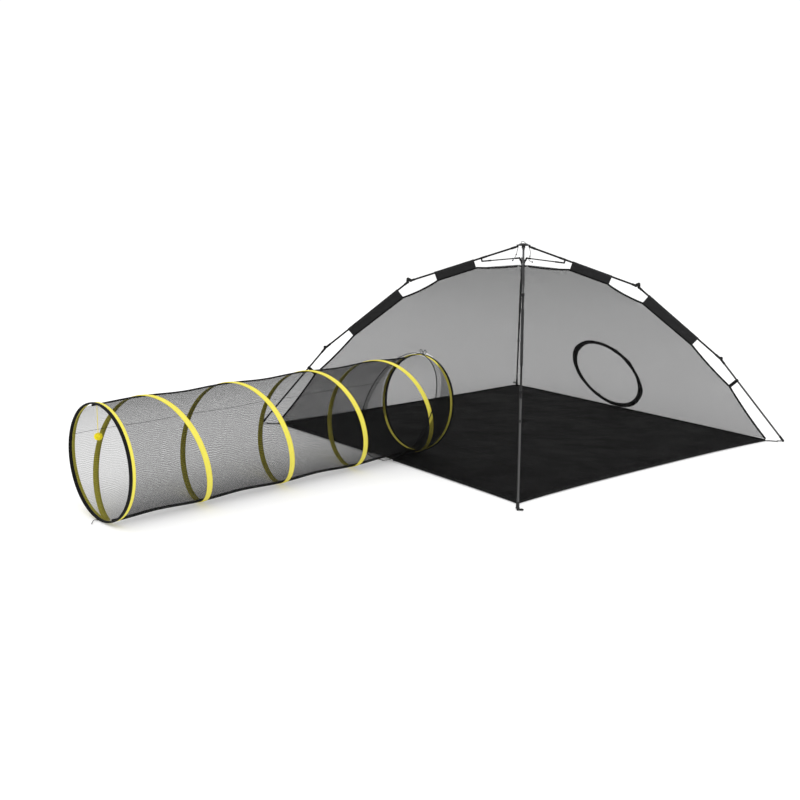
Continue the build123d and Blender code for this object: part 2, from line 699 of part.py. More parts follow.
build_floor()
build_canopy()
build_door()
build_hub()
build_release_cords()
build_runner()
build_tunnel()
build_toy()
for arm_number, arm_azimuth in ARM_AZIMUTHS.items():
    build_strut(arm_number, arm_azimuth)
    build_upper_arm(arm_number, arm_azimuth)
    build_mid_arm(arm_number, arm_azimuth)
    build_lower_arm(arm_number, arm_azimuth)
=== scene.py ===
"""Looks of the pop-up mesh pet tent and its spring tunnel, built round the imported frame.

Metres, in the frame of the model: origin on the ground at the middle of the floor, +X from the tunnel's mouth
towards the tent, +Z up.
"""

from math import atan2, copysign, cos, dist, exp, pi, radians, sin, sqrt, tan, tau

import bmesh
import bpy
from mathutils import Matrix, Vector, noise


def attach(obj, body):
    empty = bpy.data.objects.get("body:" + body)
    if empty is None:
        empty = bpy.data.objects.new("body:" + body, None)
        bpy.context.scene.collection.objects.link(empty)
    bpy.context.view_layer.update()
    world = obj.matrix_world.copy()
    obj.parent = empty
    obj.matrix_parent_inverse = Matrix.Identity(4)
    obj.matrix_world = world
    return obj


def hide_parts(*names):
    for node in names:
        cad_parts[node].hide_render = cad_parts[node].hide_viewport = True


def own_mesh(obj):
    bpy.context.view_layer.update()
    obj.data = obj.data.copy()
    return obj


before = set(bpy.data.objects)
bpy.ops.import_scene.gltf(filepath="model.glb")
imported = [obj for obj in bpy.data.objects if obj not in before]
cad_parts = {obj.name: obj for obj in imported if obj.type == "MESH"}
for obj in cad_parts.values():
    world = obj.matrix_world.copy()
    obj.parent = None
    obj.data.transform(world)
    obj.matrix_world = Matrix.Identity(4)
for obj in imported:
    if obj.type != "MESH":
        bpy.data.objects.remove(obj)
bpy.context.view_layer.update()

UP = Vector((0, 0, 1))
ARM_AZIMUTHS = {1: 225, 2: 315, 3: 45, 4: 135}

# Pole lines in each arm's upright plane: distance from the middle, height.
HUB_PIVOT = (0.030, 0.970)
ELBOW_A = (0.580, 0.782)
ELBOW_B = (1.016, 0.422)
FOOT_BALL = (1.359, 0.006)

# Canopy: the middle of a wall and its two ridges share these stations, from the hem to the top.
WALL_MIDDLE = [
    (0.898, 0.013), (0.743, 0.288), (0.611, 0.489), (0.428, 0.695), (0.300, 0.789), (0.163, 0.857),
    (0.018, 0.871),
]
WALL_RIDGE = [
    (0.898, 0.013), (0.757, 0.281), (0.614, 0.489), (0.4305, 0.697), (0.3025, 0.791), (0.1645, 0.858),
    (0.018, 0.871),
]
SPAN_ROWS = [26, 20, 22, 14, 16, 14]
RIDGE_SAG = [0.004, 0.004, 0.0, 0.006, 0.0, 0.004]
WALL_SAG = 0.016
WALL_COLUMNS = 128

FLOOR_HALF = 0.9
# How far the middle of each floor edge is drawn in: door wall, +Y wall, tunnel wall, -Y wall.
EDGE_BOW = [0.005, 0.026, 0.012, 0.026]
# The way in from each of those edges.
EDGE_INWARD = [(-1, 0), (0, -1), (1, 0), (0, 1)]
SHEET_HEIGHT = 0.0015
SHEET_THICK = 0.0012
HEM_HALF_WIDE = 0.004
HEM_TOP = 0.0135
HEM_MIDDLE = 0.0062
CANOPY_FOOT = 0.012
# Sleeves along their poles: from, to, depth of the hanging panel at each end.
UPPER_SLEEVE = (0.232, 0.443, 0.0395, 0.0395)
MID_SLEEVE = (0.076, 0.409, 0.0455, 0.0405)
SLEEVE_TUBE = 0.0060
SLEEVE_TUBE_POINTS = 7
PANEL_HALF = 0.0016
PANEL_POINTS = 9
CLIP_ALONG = 0.141
CLIP_HALF_WIDE = 0.0088

TUNNEL_INNER = Vector((-0.646, 0.044, 0.238))
TUNNEL_LENGTH = 1.719
TUNNEL_YAW = radians(4.3)
TUNNEL_WAY = Vector((cos(TUNNEL_YAW), sin(TUNNEL_YAW), 0))
TUNNEL_LEFT = Vector((-sin(TUNNEL_YAW), cos(TUNNEL_YAW), 0))
TUNNEL_MOUTH = TUNNEL_INNER - TUNNEL_WAY * TUNNEL_LENGTH
TUNNEL_RADIUS = 0.2299
TUNNEL_WAIST = 0.0062  # how far the netting is drawn in half way between two turns of the coil
TAPE_RADIUS = 0.2339
TAPE_WIDE = 0.025
HOOP_RADIUS = 0.232
HELIX_TURNS = 4
HELIX_INSET = 0.022
INNER_TILT = radians(6.5)
HELIX_END_RADIUS = 0.236  # outside of the inner hoop, whose tilt shortens the coil
HELIX_LENGTH = TUNNEL_LENGTH - HELIX_END_RADIUS * sin(INNER_TILT) - 2 * HELIX_INSET
HELIX_PITCH = HELIX_LENGTH / HELIX_TURNS
PORT_RADIUS = 0.2385
TOY_CORD = 0.105
BALL_CORE = 0.0128
BALL_STRANDS = 1500

WALL_LEAN = atan2(0.210, 0.373)
DOOR_RADIUS = 0.225
FLAP_RADIUS = 0.217
DOOR_UP_WALL = 0.24
DOOR_CENTRE = Vector(
    (FLOOR_HALF - DOOR_UP_WALL * sin(WALL_LEAN), 0.075, CANOPY_FOOT + DOOR_UP_WALL * cos(WALL_LEAN))
)
DOOR_NORMAL = Vector((cos(WALL_LEAN), 0, sin(WALL_LEAN)))
DOOR_SLOPE = Vector((-sin(WALL_LEAN), 0, cos(WALL_LEAN)))
ACROSS_WALL = Vector((0, 1, 0))
DOOR_BULGE = radians(225)  # turn from the top where the hoop is pushed out
# Bunched cloth on the door's hoop: turn, spread, extra half thickness.
DOOR_LUMPS = [
    (0.9, 0.45, 0.0070),
    (1.7, 0.50, 0.0040),
    (3.2, 0.60, 0.0045),
    (4.35, 0.22, 0.0060),
    (5.2, 0.10, 0.0065),
    (5.65, 0.08, 0.0060),
]
ZIP_SEAT = pi - radians(35)
# Half widths of the zip's slider along its length.
SLIDER_WIDTHS = [0.0030, 0.0042, 0.0046, 0.0042, 0.0034, 0.0042, 0.0046, 0.0042, 0.0030]

# Cloth patterns: streaks and faint grid of the netting, fold lines and ripstop weave of the floor cloth.
STREAK_PITCH = 0.0075
GRID_PITCH = 0.016
FOLD_SPACING = 0.3
FOLD_HALF_WIDE = 0.022
RIPSTOP_PITCH = 0.0009

# Name, place, side and power of each lamp.
LAMPS = [
    ("key", (-3.5, -3.0, 4.5), 3.5, 90),
    ("fill", (3.5, -3.5, 3.5), 3.0, 32),
    ("back", (1.0, 4.5, 3.5), 3.0, 32),
]
LAMP_TARGET = Vector((0, 0, 0.3))
WORLD_LIGHT = 1.06
STAGE_GLOW = 0.22
STAGE_HALF = 60.0
STAGE_DROP = 0.0008
CAMERA_PLACE = Vector((-4.122, -4.042, 1.387))
CAMERA_HEADING = radians(-39.43)
CAMERA_PITCH = radians(12.0)
CAMERA_ROLL = radians(0.7)
SENSOR_MM = 36.0
LENS_MM = 50.6


# Small tools.
def wobble(x, y=0.0, z=0.0):
    """Smooth repeatable variation between about -1 and 1."""
    return noise.noise(Vector((x, y, z)))


def outward(azimuth):
    turn = radians(azimuth)
    return Vector((cos(turn), sin(turn), 0))


def in_space(azimuth, spot):
    """A point of an arm's upright plane, in space."""
    return outward(azimuth) * spot[0] + UP * spot[1]


class Pole:
    """A straight pole's line: a start, a way along, a way out of the arch and a way across."""

    def __init__(self, azimuth, start, end):
        self.start = in_space(azimuth, start)
        run = in_space(azimuth, end) - self.start
        self.length = run.length
        self.along = run.normalized()
        self.across = outward(azimuth).cross(UP)
        self.out = self.across.cross(self.along)

    def at(self, along, out=0.0, across=0.0):
        return self.start + self.along * along + self.out * out + self.across * across


def add_object(name, data):
    made = bpy.data.objects.new(name, data)
    bpy.context.scene.collection.objects.link(made)
    return made


def mesh_piece(name, points, faces, uvs, material):
    """A smooth-shaded mesh object. uvs holds one (u, v) in metres for every point."""
    mesh = bpy.data.meshes.new(name)
    mesh.from_pydata([tuple(p) for p in points], [], faces)
    layer = mesh.uv_layers.new(name="cloth")
    for loop in mesh.loops:
        layer.data[loop.index].uv = uvs[loop.vertex_index]
    for face in mesh.polygons:
        face.use_smooth = True
    piece = add_object(name, mesh)
    piece.data.materials.append(material)
    return piece


def stand_for(piece, body, node):
    """The piece moves with the body and stands for a CAD node."""
    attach(piece, body)
    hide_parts(node)


def grid_faces(rows, columns, wrap_rows=False, wrap_columns=False):
    """Quads of a grid whose points run column by column along each row."""
    faces = []
    for i in range(rows if wrap_rows else rows - 1):
        for j in range(columns if wrap_columns else columns - 1):
            i2, j2 = (i + 1) % rows, (j + 1) % columns
            faces.append((i * columns + j, i * columns + j2, i2 * columns + j2, i2 * columns + j))
    return faces


def sweep(name, spine, sides, section, material, closed=False):
    """Sweeps a closed section along a line of points.

    sides holds two unit vectors for each point. section(i) gives the section there as pairs along those two.
    """
    points, uvs, travelled = [], [], 0.0
    for i, centre in enumerate(spine):
        if i:
            travelled += (centre - spine[i - 1]).length
        first, second = sides[i]
        ring = section(i)
        around = 0.0
        for j, (a, b) in enumerate(ring):
            if j:
                around += dist(ring[j], ring[j - 1])
            points.append(centre + first * a + second * b)
            uvs.append((travelled, around))
    count = len(section(0))
    faces = grid_faces(len(spine), count, wrap_rows=closed, wrap_columns=True)
    if not closed:
        faces.append(tuple(reversed(range(count))))
        faces.append(tuple(range((len(spine) - 1) * count, len(spine) * count)))
    return mesh_piece(name, points, faces, uvs, material)


def side_vectors(spine, hint):
    """Two unit vectors square to a line of points at each point, the first one nearest to the hint."""
    sides = []
    for i in range(len(spine)):
        way = (spine[min(i + 1, len(spine) - 1)] - spine[max(i - 1, 0)]).normalized()
        first = (hint - way * hint.dot(way)).normalized()
        sides.append((first, way.cross(first)))
    return sides


def oval(half_a, half_b, count=12, power=2.0):
    """Rounded closed section. A higher power makes it squarer."""
    ring = []
    for k in range(count):
        c, s = cos(tau * k / count), sin(tau * k / count)
        a = copysign(abs(c) ** (2 / power), c)
        b = copysign(abs(s) ** (2 / power), s)
        ring.append((half_a * a, half_b * b))
    return ring


def smooth_line(stops, steps):
    """Catmull-Rom line through the stops, with a number of steps for each span."""
    line = []
    for k, count in enumerate(steps):
        before, here = stops[max(k - 1, 0)], stops[k]
        there, after = stops[k + 1], stops[min(k + 2, len(stops) - 1)]
        for i in range(count):
            t = i / count
            slope = (there - before) * t
            bend = (2 * before - 5 * here + 4 * there - after) * t * t
            twist = (3 * here - before - 3 * there + after) * t ** 3
            line.append(0.5 * (2 * here + slope + bend + twist))
    line.append(stops[-1])
    return line


def cord(name, stops, radius, material, steps=10):
    """Round cord through a few points."""
    spine = smooth_line([Vector(s) for s in stops], [steps] * (len(stops) - 1))
    ring = oval(radius, radius, 8)
    return sweep(name, spine, side_vectors(spine, Vector((0.31, 0.2, 0.93))), lambda i: ring, material)


# Shader tools.
class Shader:
    """A material's node tree, with short names for the nodes used here."""

    def __init__(self, name):
        self.material = bpy.data.materials.new(name)
        self.material.use_nodes = True
        self.nodes = self.material.node_tree.nodes
        self.links = self.material.node_tree.links
        self.surface = self.nodes["Principled BSDF"]

    def node(self, kind, **inputs):
        made = self.nodes.new(kind)
        for key, value in inputs.items():
            self.feed(made.inputs[key.replace("_", " ")], value)
        return made

    def feed(self, socket, value):
        if isinstance(value, bpy.types.NodeSocket):
            self.links.new(value, socket)
        else:
            socket.default_value = value

    def math(self, operation, *values):
        made = self.nodes.new("ShaderNodeMath")
        made.operation = operation
        for socket, value in zip(made.inputs, values):
            self.feed(socket, value)
        return made.outputs[0]

    def coordinates(self, kind):
        """UV for cloth in metres along the cloth, Object for moulded and metal parts."""
        return self.nodes.new("ShaderNodeTexCoord").outputs[kind]

    def noise(self, vector, scale, detail=3.0):
        made = self.node("ShaderNodeTexNoise", Vector=vector, Scale=scale, Detail=detail)
        return made.outputs["Fac"]

    def spread(self, value, low, high, to_low, to_high):
        """Maps a range of values to another, smoothly."""
        made = self.nodes.new("ShaderNodeMapRange")
        made.interpolation_type = "SMOOTHSTEP"
        for socket, given in zip(made.inputs, (value, low, high, to_low, to_high)):
            self.feed(socket, given)
        return made.outputs[0]

    def blend(self, amount, first, second):
        made = self.nodes.new("ShaderNodeMix")
        made.data_type = "RGBA"
        self.feed(made.inputs[0], amount)
        self.feed(made.inputs[6], first)
        self.feed(made.inputs[7], second)
        return made.outputs[2]

    def bump(self, height, depth, strength=1.0):
        made = self.node("ShaderNodeBump", Height=height, Distance=depth, Strength=strength)
        return made.outputs["Normal"]

    def set(self, **inputs):
        for key, value in inputs.items():
            self.feed(self.surface.inputs[key.replace("_", " ")], value)


def grey(level):
    return (level, level, level * 1.03, 1.0)


def cloth(name, colour, painted_highlight_colour, pitch, sheen=0.15, wrinkle=0.0015, specular=0.2):
    """Plain-weave cloth: crossing threads and slow wrinkles, with a painted highlight on the raised threads
    and wrinkle crests and painted shade between the threads and in the troughs.
    """
    s = Shader(name)
    uv = s.coordinates("UV")
    split = s.node("ShaderNodeSeparateXYZ", Vector=uv).outputs
    waves = [s.math("SINE", s.math("MULTIPLY", split[k], pi / pitch)) for k in (0, 1)]
    threads = [s.math("MULTIPLY", w, w) for w in waves]
    parity = s.math("GREATER_THAN", s.math("MULTIPLY", waves[0], waves[1]), 0.0)
    over = s.math("MULTIPLY", threads[0], parity)
    under = s.math("MULTIPLY", threads[1], s.math("SUBTRACT", 1.0, parity))
    weave = s.math("ADD", over, under)
    folds = s.noise(uv, 22.0, 2.0)
    fuzz = s.noise(uv, 900.0, 2.0)
    # Painted light: the colour follows the thread and wrinkle heights, a painted highlight on raised threads
    # and crests, painted shade in the gaps and troughs.
    tone = s.math("ADD", s.math("MULTIPLY", weave, 0.55), s.math("MULTIPLY", folds, 0.45))
    s.set(Base_Color=s.blend(tone, colour, painted_highlight_colour), Roughness=s.spread(fuzz, 0.2, 0.8, 0.77, 0.93))
    s.set(Specular_IOR_Level=specular, Sheen_Weight=sheen, Sheen_Roughness=0.45)
    fine = s.node("ShaderNodeBump", Height=weave, Distance=pitch * 0.35, Strength=0.7)
    s.links.new(s.bump(folds, wrinkle), fine.inputs["Normal"])
    s.set(Normal=fine.outputs["Normal"])
    return s.material


def net(name, cover, pitch, slant_most, striation=0.0, beat=0.0):
    """Open square-mesh netting of black thread. Threads hide part of what is behind, more of it at a slant.

    striation is the strength of uneven light and dark streaks, as in stretched cloth. beat is the strength of
    the faint grid that fine netting shows where it overlaps itself.
    """
    s = Shader(name)
    uv = s.coordinates("UV")
    split = s.node("ShaderNodeSeparateXYZ", Vector=uv).outputs
    half_thread = (1 - sqrt(1 - cover)) / 2
    masks = []
    for axis in (0, 1):
        cell = s.math("FRACT", s.math("DIVIDE", split[axis], pitch))
        off = s.math("ABSOLUTE", s.math("SUBTRACT", cell, 0.5))
        masks.append(s.spread(off, half_thread * 0.6, half_thread * 1.4, 1.0, 0.0))
    pattern = s.math("MAXIMUM", masks[0], masks[1])
    hidden = s.math("ADD", s.math("MULTIPLY", pattern, 0.3), cover * 0.7)
    if striation:
        bend = s.math("MULTIPLY", s.math("SUBTRACT", s.noise(uv, 7.0, 3.0), 0.5), 34.0)
        line = s.math("SINE", s.math("ADD", s.math("MULTIPLY", split[0], tau / STREAK_PITCH), bend))
        patch = s.spread(s.noise(uv, 11.0, 2.0), 0.35, 0.65, 0.25, 1.0)
        hidden = s.math("ADD", hidden, s.math("MULTIPLY", s.math("MULTIPLY", line, patch), striation))
    if beat:
        waves = [s.math("SINE", s.math("MULTIPLY", split[k], tau / GRID_PITCH)) for k in (0, 1)]
        grid = s.math("MULTIPLY", s.math("ADD", waves[0], waves[1]), beat)
        hidden = s.math("ADD", hidden, grid)
    facing = s.node("ShaderNodeLayerWeight", Blend=0.5).outputs["Facing"]
    slant = s.spread(facing, 0.0, 1.0, 1.0, slant_most)
    seen = s.math("POWER", s.math("MAXIMUM", s.math("SUBTRACT", 1.0, hidden), 0.02), slant)
    s.set(
        Base_Color=s.blend(s.noise(uv, 60.0), grey(0.003), grey(0.007)), Roughness=0.8,
        Specular_IOR_Level=0.08,
    )
    hole = s.nodes.new("ShaderNodeBsdfTransparent")
    mixed = s.nodes.new("ShaderNodeMixShader")
    s.links.new(seen, mixed.inputs[0])
    s.links.new(s.surface.outputs[0], mixed.inputs[1])
    s.links.new(hole.outputs[0], mixed.inputs[2])
    s.links.new(mixed.outputs[0], s.nodes["Material Output"].inputs["Surface"])
    return s.material


def floor_cloth():
    """Coated floor cloth: satin, with fold lines left from its bag and soft creases."""
    s = Shader("coated_floor_cloth")
    uv = s.coordinates("UV")
    split = s.node("ShaderNodeSeparateXYZ", Vector=uv).outputs
    creases = []
    for axis in (0, 1):
        cell = s.math("FRACT", s.math("DIVIDE", split[axis], FOLD_SPACING))
        off = s.math("ABSOLUTE", s.math("SUBTRACT", cell, 0.5))
        creases.append(s.spread(off, 0.0, FOLD_HALF_WIDE, 1.0, 0.0))
    fold = s.math("MAXIMUM", creases[0], creases[1])
    slow = s.noise(uv, 5.0, 4.0)
    fine = s.noise(uv, 26.0, 3.0)
    rip = s.math("SINE", s.math("MULTIPLY", split[0], tau / RIPSTOP_PITCH))
    stop = s.math("SINE", s.math("MULTIPLY", split[1], tau / RIPSTOP_PITCH))
    weave = s.math("MULTIPLY", rip, stop)
    small = s.math("ADD", s.math("MULTIPLY", fine, 0.5), s.math("MULTIPLY", fold, 0.28))
    height = s.math("ADD", s.math("MULTIPLY", slow, 2.0), small)
    s.set(Base_Color=s.blend(s.spread(fine, 0.3, 0.7, 0.0, 1.0), grey(0.0015), grey(0.0035)))
    s.set(Roughness=s.spread(slow, 0.3, 0.7, 0.62, 0.74), Specular_IOR_Level=0.05, Sheen_Weight=0.0)
    weave_bump = s.node("ShaderNodeBump", Height=weave, Distance=0.00015, Strength=0.5)
    s.links.new(s.bump(height, 0.006), weave_bump.inputs["Normal"])
    s.set(Normal=weave_bump.outputs["Normal"])
    return s.material


def coated_tube(name, level, shine):
    """Black powder-coated pole, rubbed a little brighter in places."""
    s = Shader(name)
    place = s.coordinates("Object")
    rub = s.noise(place, 35.0, 4.0)
    grain = s.noise(place, 2200.0, 2.0)
    s.set(Base_Color=s.blend(s.spread(rub, 0.45, 0.8, 0.0, 1.0), grey(level), grey(level * 3)))
    s.set(
        Roughness=s.spread(rub, 0.3, 0.7, 0.28, 0.42), Specular_IOR_Level=shine, Coat_Weight=shine * 0.4,
        Coat_Roughness=0.2,
    )
    s.set(Normal=s.bump(grain, 0.0001, 0.5))
    return s.material


def moulded(name, level, roughness):
    """Moulded nylon with a fine spark-eroded grain."""
    s = Shader(name)
    place = s.coordinates("Object")
    grain = s.noise(place, 1500.0, 3.0)
    slow = s.noise(place, 40.0, 2.0)
    s.set(Base_Color=s.blend(slow, grey(level), grey(level * 2.2)))
    s.set(Roughness=s.spread(grain, 0.3, 0.7, roughness - 0.06, roughness + 0.08), Specular_IOR_Level=0.22)
    s.set(Normal=s.bump(grain, 0.00012, 0.7))
    return s.material


def bright_tube():
    """Drawn bright metal with faint rings of polish."""
    s = Shader("bright_tube")
    place = s.coordinates("Object")
    split = s.node("ShaderNodeSeparateXYZ", Vector=place).outputs
    stretched = s.node("ShaderNodeCombineXYZ", Z=s.math("MULTIPLY", split[2], 60.0)).outputs[0]
    rings = s.noise(stretched, 30.0, 3.0)
    s.set(Base_Color=s.blend(rings, (0.62, 0.63, 0.66, 1), (0.86, 0.87, 0.9, 1)), Metallic=1.0)
    s.set(Roughness=s.spread(rings, 0.3, 0.7, 0.16, 0.3), Normal=s.bump(rings, 0.00005, 0.4))
    return s.material


def plush():
    """Deep yellow pile, with painted shade between the tufts."""
    s = Shader("yellow_plush")
    place = s.coordinates("Object")
    tufts = s.noise(place, 420.0, 3.0)
    # Painted shade: the colour darkens where the tuft height is low, between the tufts.
    s.set(Base_Color=s.blend(tufts, (0.95, 0.80, 0.02, 1), (0.99, 0.93, 0.05, 1)))
    s.set(
        Roughness=0.95, Specular_IOR_Level=0.05, Sheen_Weight=0.6, Sheen_Roughness=0.3,
        Sheen_Tint=(1, 0.95, 0.5, 1),
    )
    s.set(Normal=s.bump(tufts, 0.002))
    return s.material


CANOPY_NET = net("canopy_net", 0.42, 0.0016, 1.5, beat=0.014)
TUNNEL_NET = net("tunnel_net", 0.42, 0.0015, 1.6, striation=0.14)
PORT_NET = net("port_net", 0.20, 0.0016, 1.5)
FLOOR_CLOTH = floor_cloth()
# The second colour given to each cloth is its painted highlight on raised threads and wrinkle crests.
BINDING = cloth("black_binding", grey(0.004), grey(0.010), 0.0011, sheen=0.03, specular=0.1)
SLEEVE_CLOTH = cloth(
    "sleeve_cloth", grey(0.010), grey(0.034), 0.0016, sheen=0.05, wrinkle=0.004, specular=0.12
)
WEBBING = cloth("black_webbing", grey(0.004), grey(0.011), 0.0016, sheen=0.03, specular=0.1)
YELLOW_TAPE = cloth(
    "yellow_tape", (0.72, 0.64, 0.080, 1), (0.84, 0.76, 0.12, 1), 0.0009, sheen=0.05, wrinkle=0.0012
)
YELLOW_CORD = cloth("yellow_cord", (0.75, 0.58, 0.02, 1), (0.92, 0.78, 0.08, 1), 0.0008)
BLACK_CORD = cloth("black_cord", grey(0.004), grey(0.012), 0.0008, sheen=0.03, specular=0.1)
DARK_COATED = coated_tube("dark_coated_tube", 0.004, 0.12)
COATED = coated_tube("coated_tube", 0.007, 0.6)
NYLON = moulded("black_nylon", 0.005, 0.5)
CAP_NYLON = moulded("cap_nylon", 0.006, 0.42)
ZIP_PLASTIC = moulded("zip_plastic", 0.009, 0.25)
BRIGHT = bright_tube()
PLUSH = plush()


def paint_frame():
    """Gives every CAD node that stays in view its material."""
    looks = {"hub_head": CAP_NYLON, "hub_cap": CAP_NYLON, "runner": NYLON, "hub_shaft": BRIGHT}
    for k in ARM_AZIMUTHS:
        for stem in ("upper_pole", "mid_pole", "strut"):
            looks[f"{stem}_{k}"] = DARK_COATED
        looks[f"lower_pole_{k}"] = COATED
        for stem in ("upper_fittings", "mid_fittings", "lower_fittings", "foot"):
            looks[f"{stem}_{k}"] = NYLON
    for name, material in looks.items():
        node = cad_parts[name]
        if not node.material_slots:
            node.data.materials.append(material)
        for held in node.material_slots:
            held.material = material


# Canopy.
def wall_stations():
    """Rows of a wall from hem to top: middle (x, z), ridge (x, z) and distance up the cloth."""
    middle = smooth_line([Vector(p) for p in WALL_MIDDLE], SPAN_ROWS)
    ridge = []
    for k, count in enumerate(SPAN_ROWS):
        low, high = Vector(WALL_RIDGE[k]), Vector(WALL_RIDGE[k + 1])
        run = (high - low).normalized()
        inward = Vector((-run.y, run.x))
        for i in range(count):
            t = i / count
            ridge.append(low.lerp(high, t) + inward * (RIDGE_SAG[k] * 4 * t * (1 - t)))
    ridge.append(Vector(WALL_RIDGE[-1]))
    height, travelled = [], 0.0
    for i, point in enumerate(middle):
        if i:
            travelled += (point - middle[i - 1]).length
        height.append(travelled)
    return middle, ridge, height


def edge_bow(side, t):
    """How far a floor edge stands in from a straight line, t from -1 to 1 along the edge."""
    return EDGE_BOW[side] * (1 - min(abs(t), 1.0) ** 2.2)


def wall_turn(side):
    return Matrix.Rotation(radians(90 * side), 3, "Z")


def keep_clear(point, centre, axis, radius):
    """Pushes a point of a wall out to the edge of a round opening. Says whether it lay inside."""
    off = point - centre
    flat = off - axis * off.dot(axis)
    if flat.length >= radius:
        return point, False
    moved = point + flat.normalized() * (radius - flat.length)
    moved.z = max(moved.z, 0.004)
    return moved, True


def build_canopy():
    """Four walls of netting joined at their ridges, sagging a little, open at the port and the door."""
    middle, ridge, height = wall_stations()
    rows, columns = len(middle), WALL_COLUMNS + 1
    total = height[-1]
    points, faces, uvs = [], [], []
    openings = {
        0: (DOOR_CENTRE, DOOR_NORMAL, DOOR_RADIUS),
        2: (TUNNEL_INNER, TUNNEL_WAY, PORT_RADIUS),
    }
    for side in range(4):
        base = len(points)
        turn = wall_turn(side)
        inside = []
        for i in range(rows):
            share = height[i] / total
            sag = WALL_SAG * sin(pi * min(share * 1.15, 1.0))
            for j in range(columns):
                t = 2 * j / WALL_COLUMNS - 1
                near = abs(t) ** 9
                flat = middle[i].lerp(ridge[i], near)
                ripple = 0.0022 * wobble(7 * t, 9 * share, side)
                ripple *= (1 - abs(t) ** 6) * sin(pi * share)
                pull = sag * (1 - t * t) + ripple + edge_bow(side, t) * (1 - share) ** 4
                drop = pull * 0.4 * (1 - share)
                point = turn @ Vector((flat.x - pull * 0.86, t * ridge[i].x, flat.y - drop))
                hidden = False
                if side in openings:
                    point, hidden = keep_clear(point, *openings[side])
                inside.append(hidden)
                points.append(point)
                uvs.append((t * ridge[i].x, height[i]))
        for face in grid_faces(rows, columns):
            if not all(inside[v] for v in face):
                faces.append(tuple(base + v for v in face))
    canopy = mesh_piece("canopy_netting", points, faces, uvs, CANOPY_NET)
    weld(canopy, 0.0005)
    hang(canopy)
    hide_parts("mesh_canopy")
    build_ridges(ridge)


def weld(piece, distance):
    """Joins points that lie together and drops loose ones."""
    edit = bmesh.new()
    edit.from_mesh(piece.data)
    bmesh.ops.remove_doubles(edit, verts=edit.verts, dist=distance)
    bmesh.ops.delete(edit, geom=[v for v in edit.verts if not v.link_faces], context="VERTS")
    edit.to_mesh(piece.data)
    edit.free()


def hang(piece, body="tent_base"):
    """A canopy piece moves with the given body, the tent's base unless another is named, and gets its own
    mesh.
    """
    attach(piece, body)
    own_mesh(piece)


def build_ridges(ridge):
    """Black binding along each ridge of the canopy."""
    for k, azimuth in ARM_AZIMUTHS.items():
        spine = [outward(azimuth) * (p.x * sqrt(2)) + UP * p.y for p in ridge]
        sides = side_vectors(spine, outward(azimuth).cross(UP))

        def section(i):
            pucker = 0.0008 * wobble(i * 0.9, k)
            return oval(0.0022 + pucker, 0.0048 + pucker, 10, 3.0)

        binding = sweep(f"ridge_binding_{k}", spine, sides, section, BINDING)
        hang(binding)


# Sleeves.
def sleeve_ring(along, depth, flare, seed):
    """Section of a sleeve: the tube over the pole, then both faces of the panel below it."""
    ring = []
    for j in range(SLEEVE_TUBE_POINTS):
        turn = pi * j / (SLEEVE_TUBE_POINTS - 1)
        radius = SLEEVE_TUBE + flare + 0.0010 * abs(wobble(along * 34, turn * 0.7, seed))
        ring.append((radius * cos(turn), radius * sin(turn)))
    for side in (-1, 1):
        edge = []
        for j in range(1, PANEL_POINTS + 1):
            share = j / PANEL_POINTS
            half = SLEEVE_TUBE * (1 - share) ** 1.6 + PANEL_HALF
            crease = 0.0030 * wobble(along * 42 + share * 2.2, share * 2.0, seed + 3 * side)
            crease *= sin(pi * share)
            edge.append((side * (half + max(crease, -half * 0.4)), -depth * share))
        ring.extend(edge if side == -1 else reversed(edge))
    return ring


def build_sleeve(name, pole, shape, body, seed):
    """Cloth sleeve round a pole, with the doubled panel below it that carries the canopy's ridge."""
    near, far, near_depth, far_depth = shape
    steps = 72
    spine, sections = [], []
    for i in range(steps + 1):
        along = near + (far - near) * i / steps
        depth = near_depth + (far_depth - near_depth) * i / steps
        from_end = min(i, steps - i) / steps
        spine.append(pole.at(along))
        sections.append(sleeve_ring(along, depth, 0.0005 * exp(-from_end * 26), seed))
    sides = [(pole.across, pole.out)] * len(spine)
    sleeve = sweep(name, spine, sides, lambda i: sections[i], SLEEVE_CLOTH)
    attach(sleeve, body)
    tuple(pole.at(near))
    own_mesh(sleeve)
    return sleeve


def build_sleeves():
    """Upper and middle sleeve of each arm."""
    for k, azimuth in ARM_AZIMUTHS.items():
        sleeves = (
            ("upper", Pole(azimuth, HUB_PIVOT, ELBOW_A), UPPER_SLEEVE, f"arm_{k}_fold", 11.0 * k),
            ("mid", Pole(azimuth, ELBOW_A, ELBOW_B), MID_SLEEVE, f"elbow_a_{k}", 17.0 * k),
        )
        for part, pole, shape, joint, seed in sleeves:
            piece = build_sleeve(f"{part}_sleeve_cloth_{k}", pole, shape, f"{part}_arm_{k}", seed)
            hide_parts(f"{part}_sleeve_{k}")


# Floor.
def bowed_in(x, y):
    """A place on the floor sheet, drawn in with the bow of each edge."""
    moved_x, moved_y = x, y
    for side, (inward_x, inward_y) in enumerate(EDGE_INWARD):
        reach = -(x * inward_x + y * inward_y)
        along = x * inward_y - y * inward_x
        pull = edge_bow(side, along / FLOOR_HALF) * max(reach / FLOOR_HALF, 0) ** 3
        moved_x += pull * inward_x
        moved_y += pull * inward_y
    return moved_x, moved_y


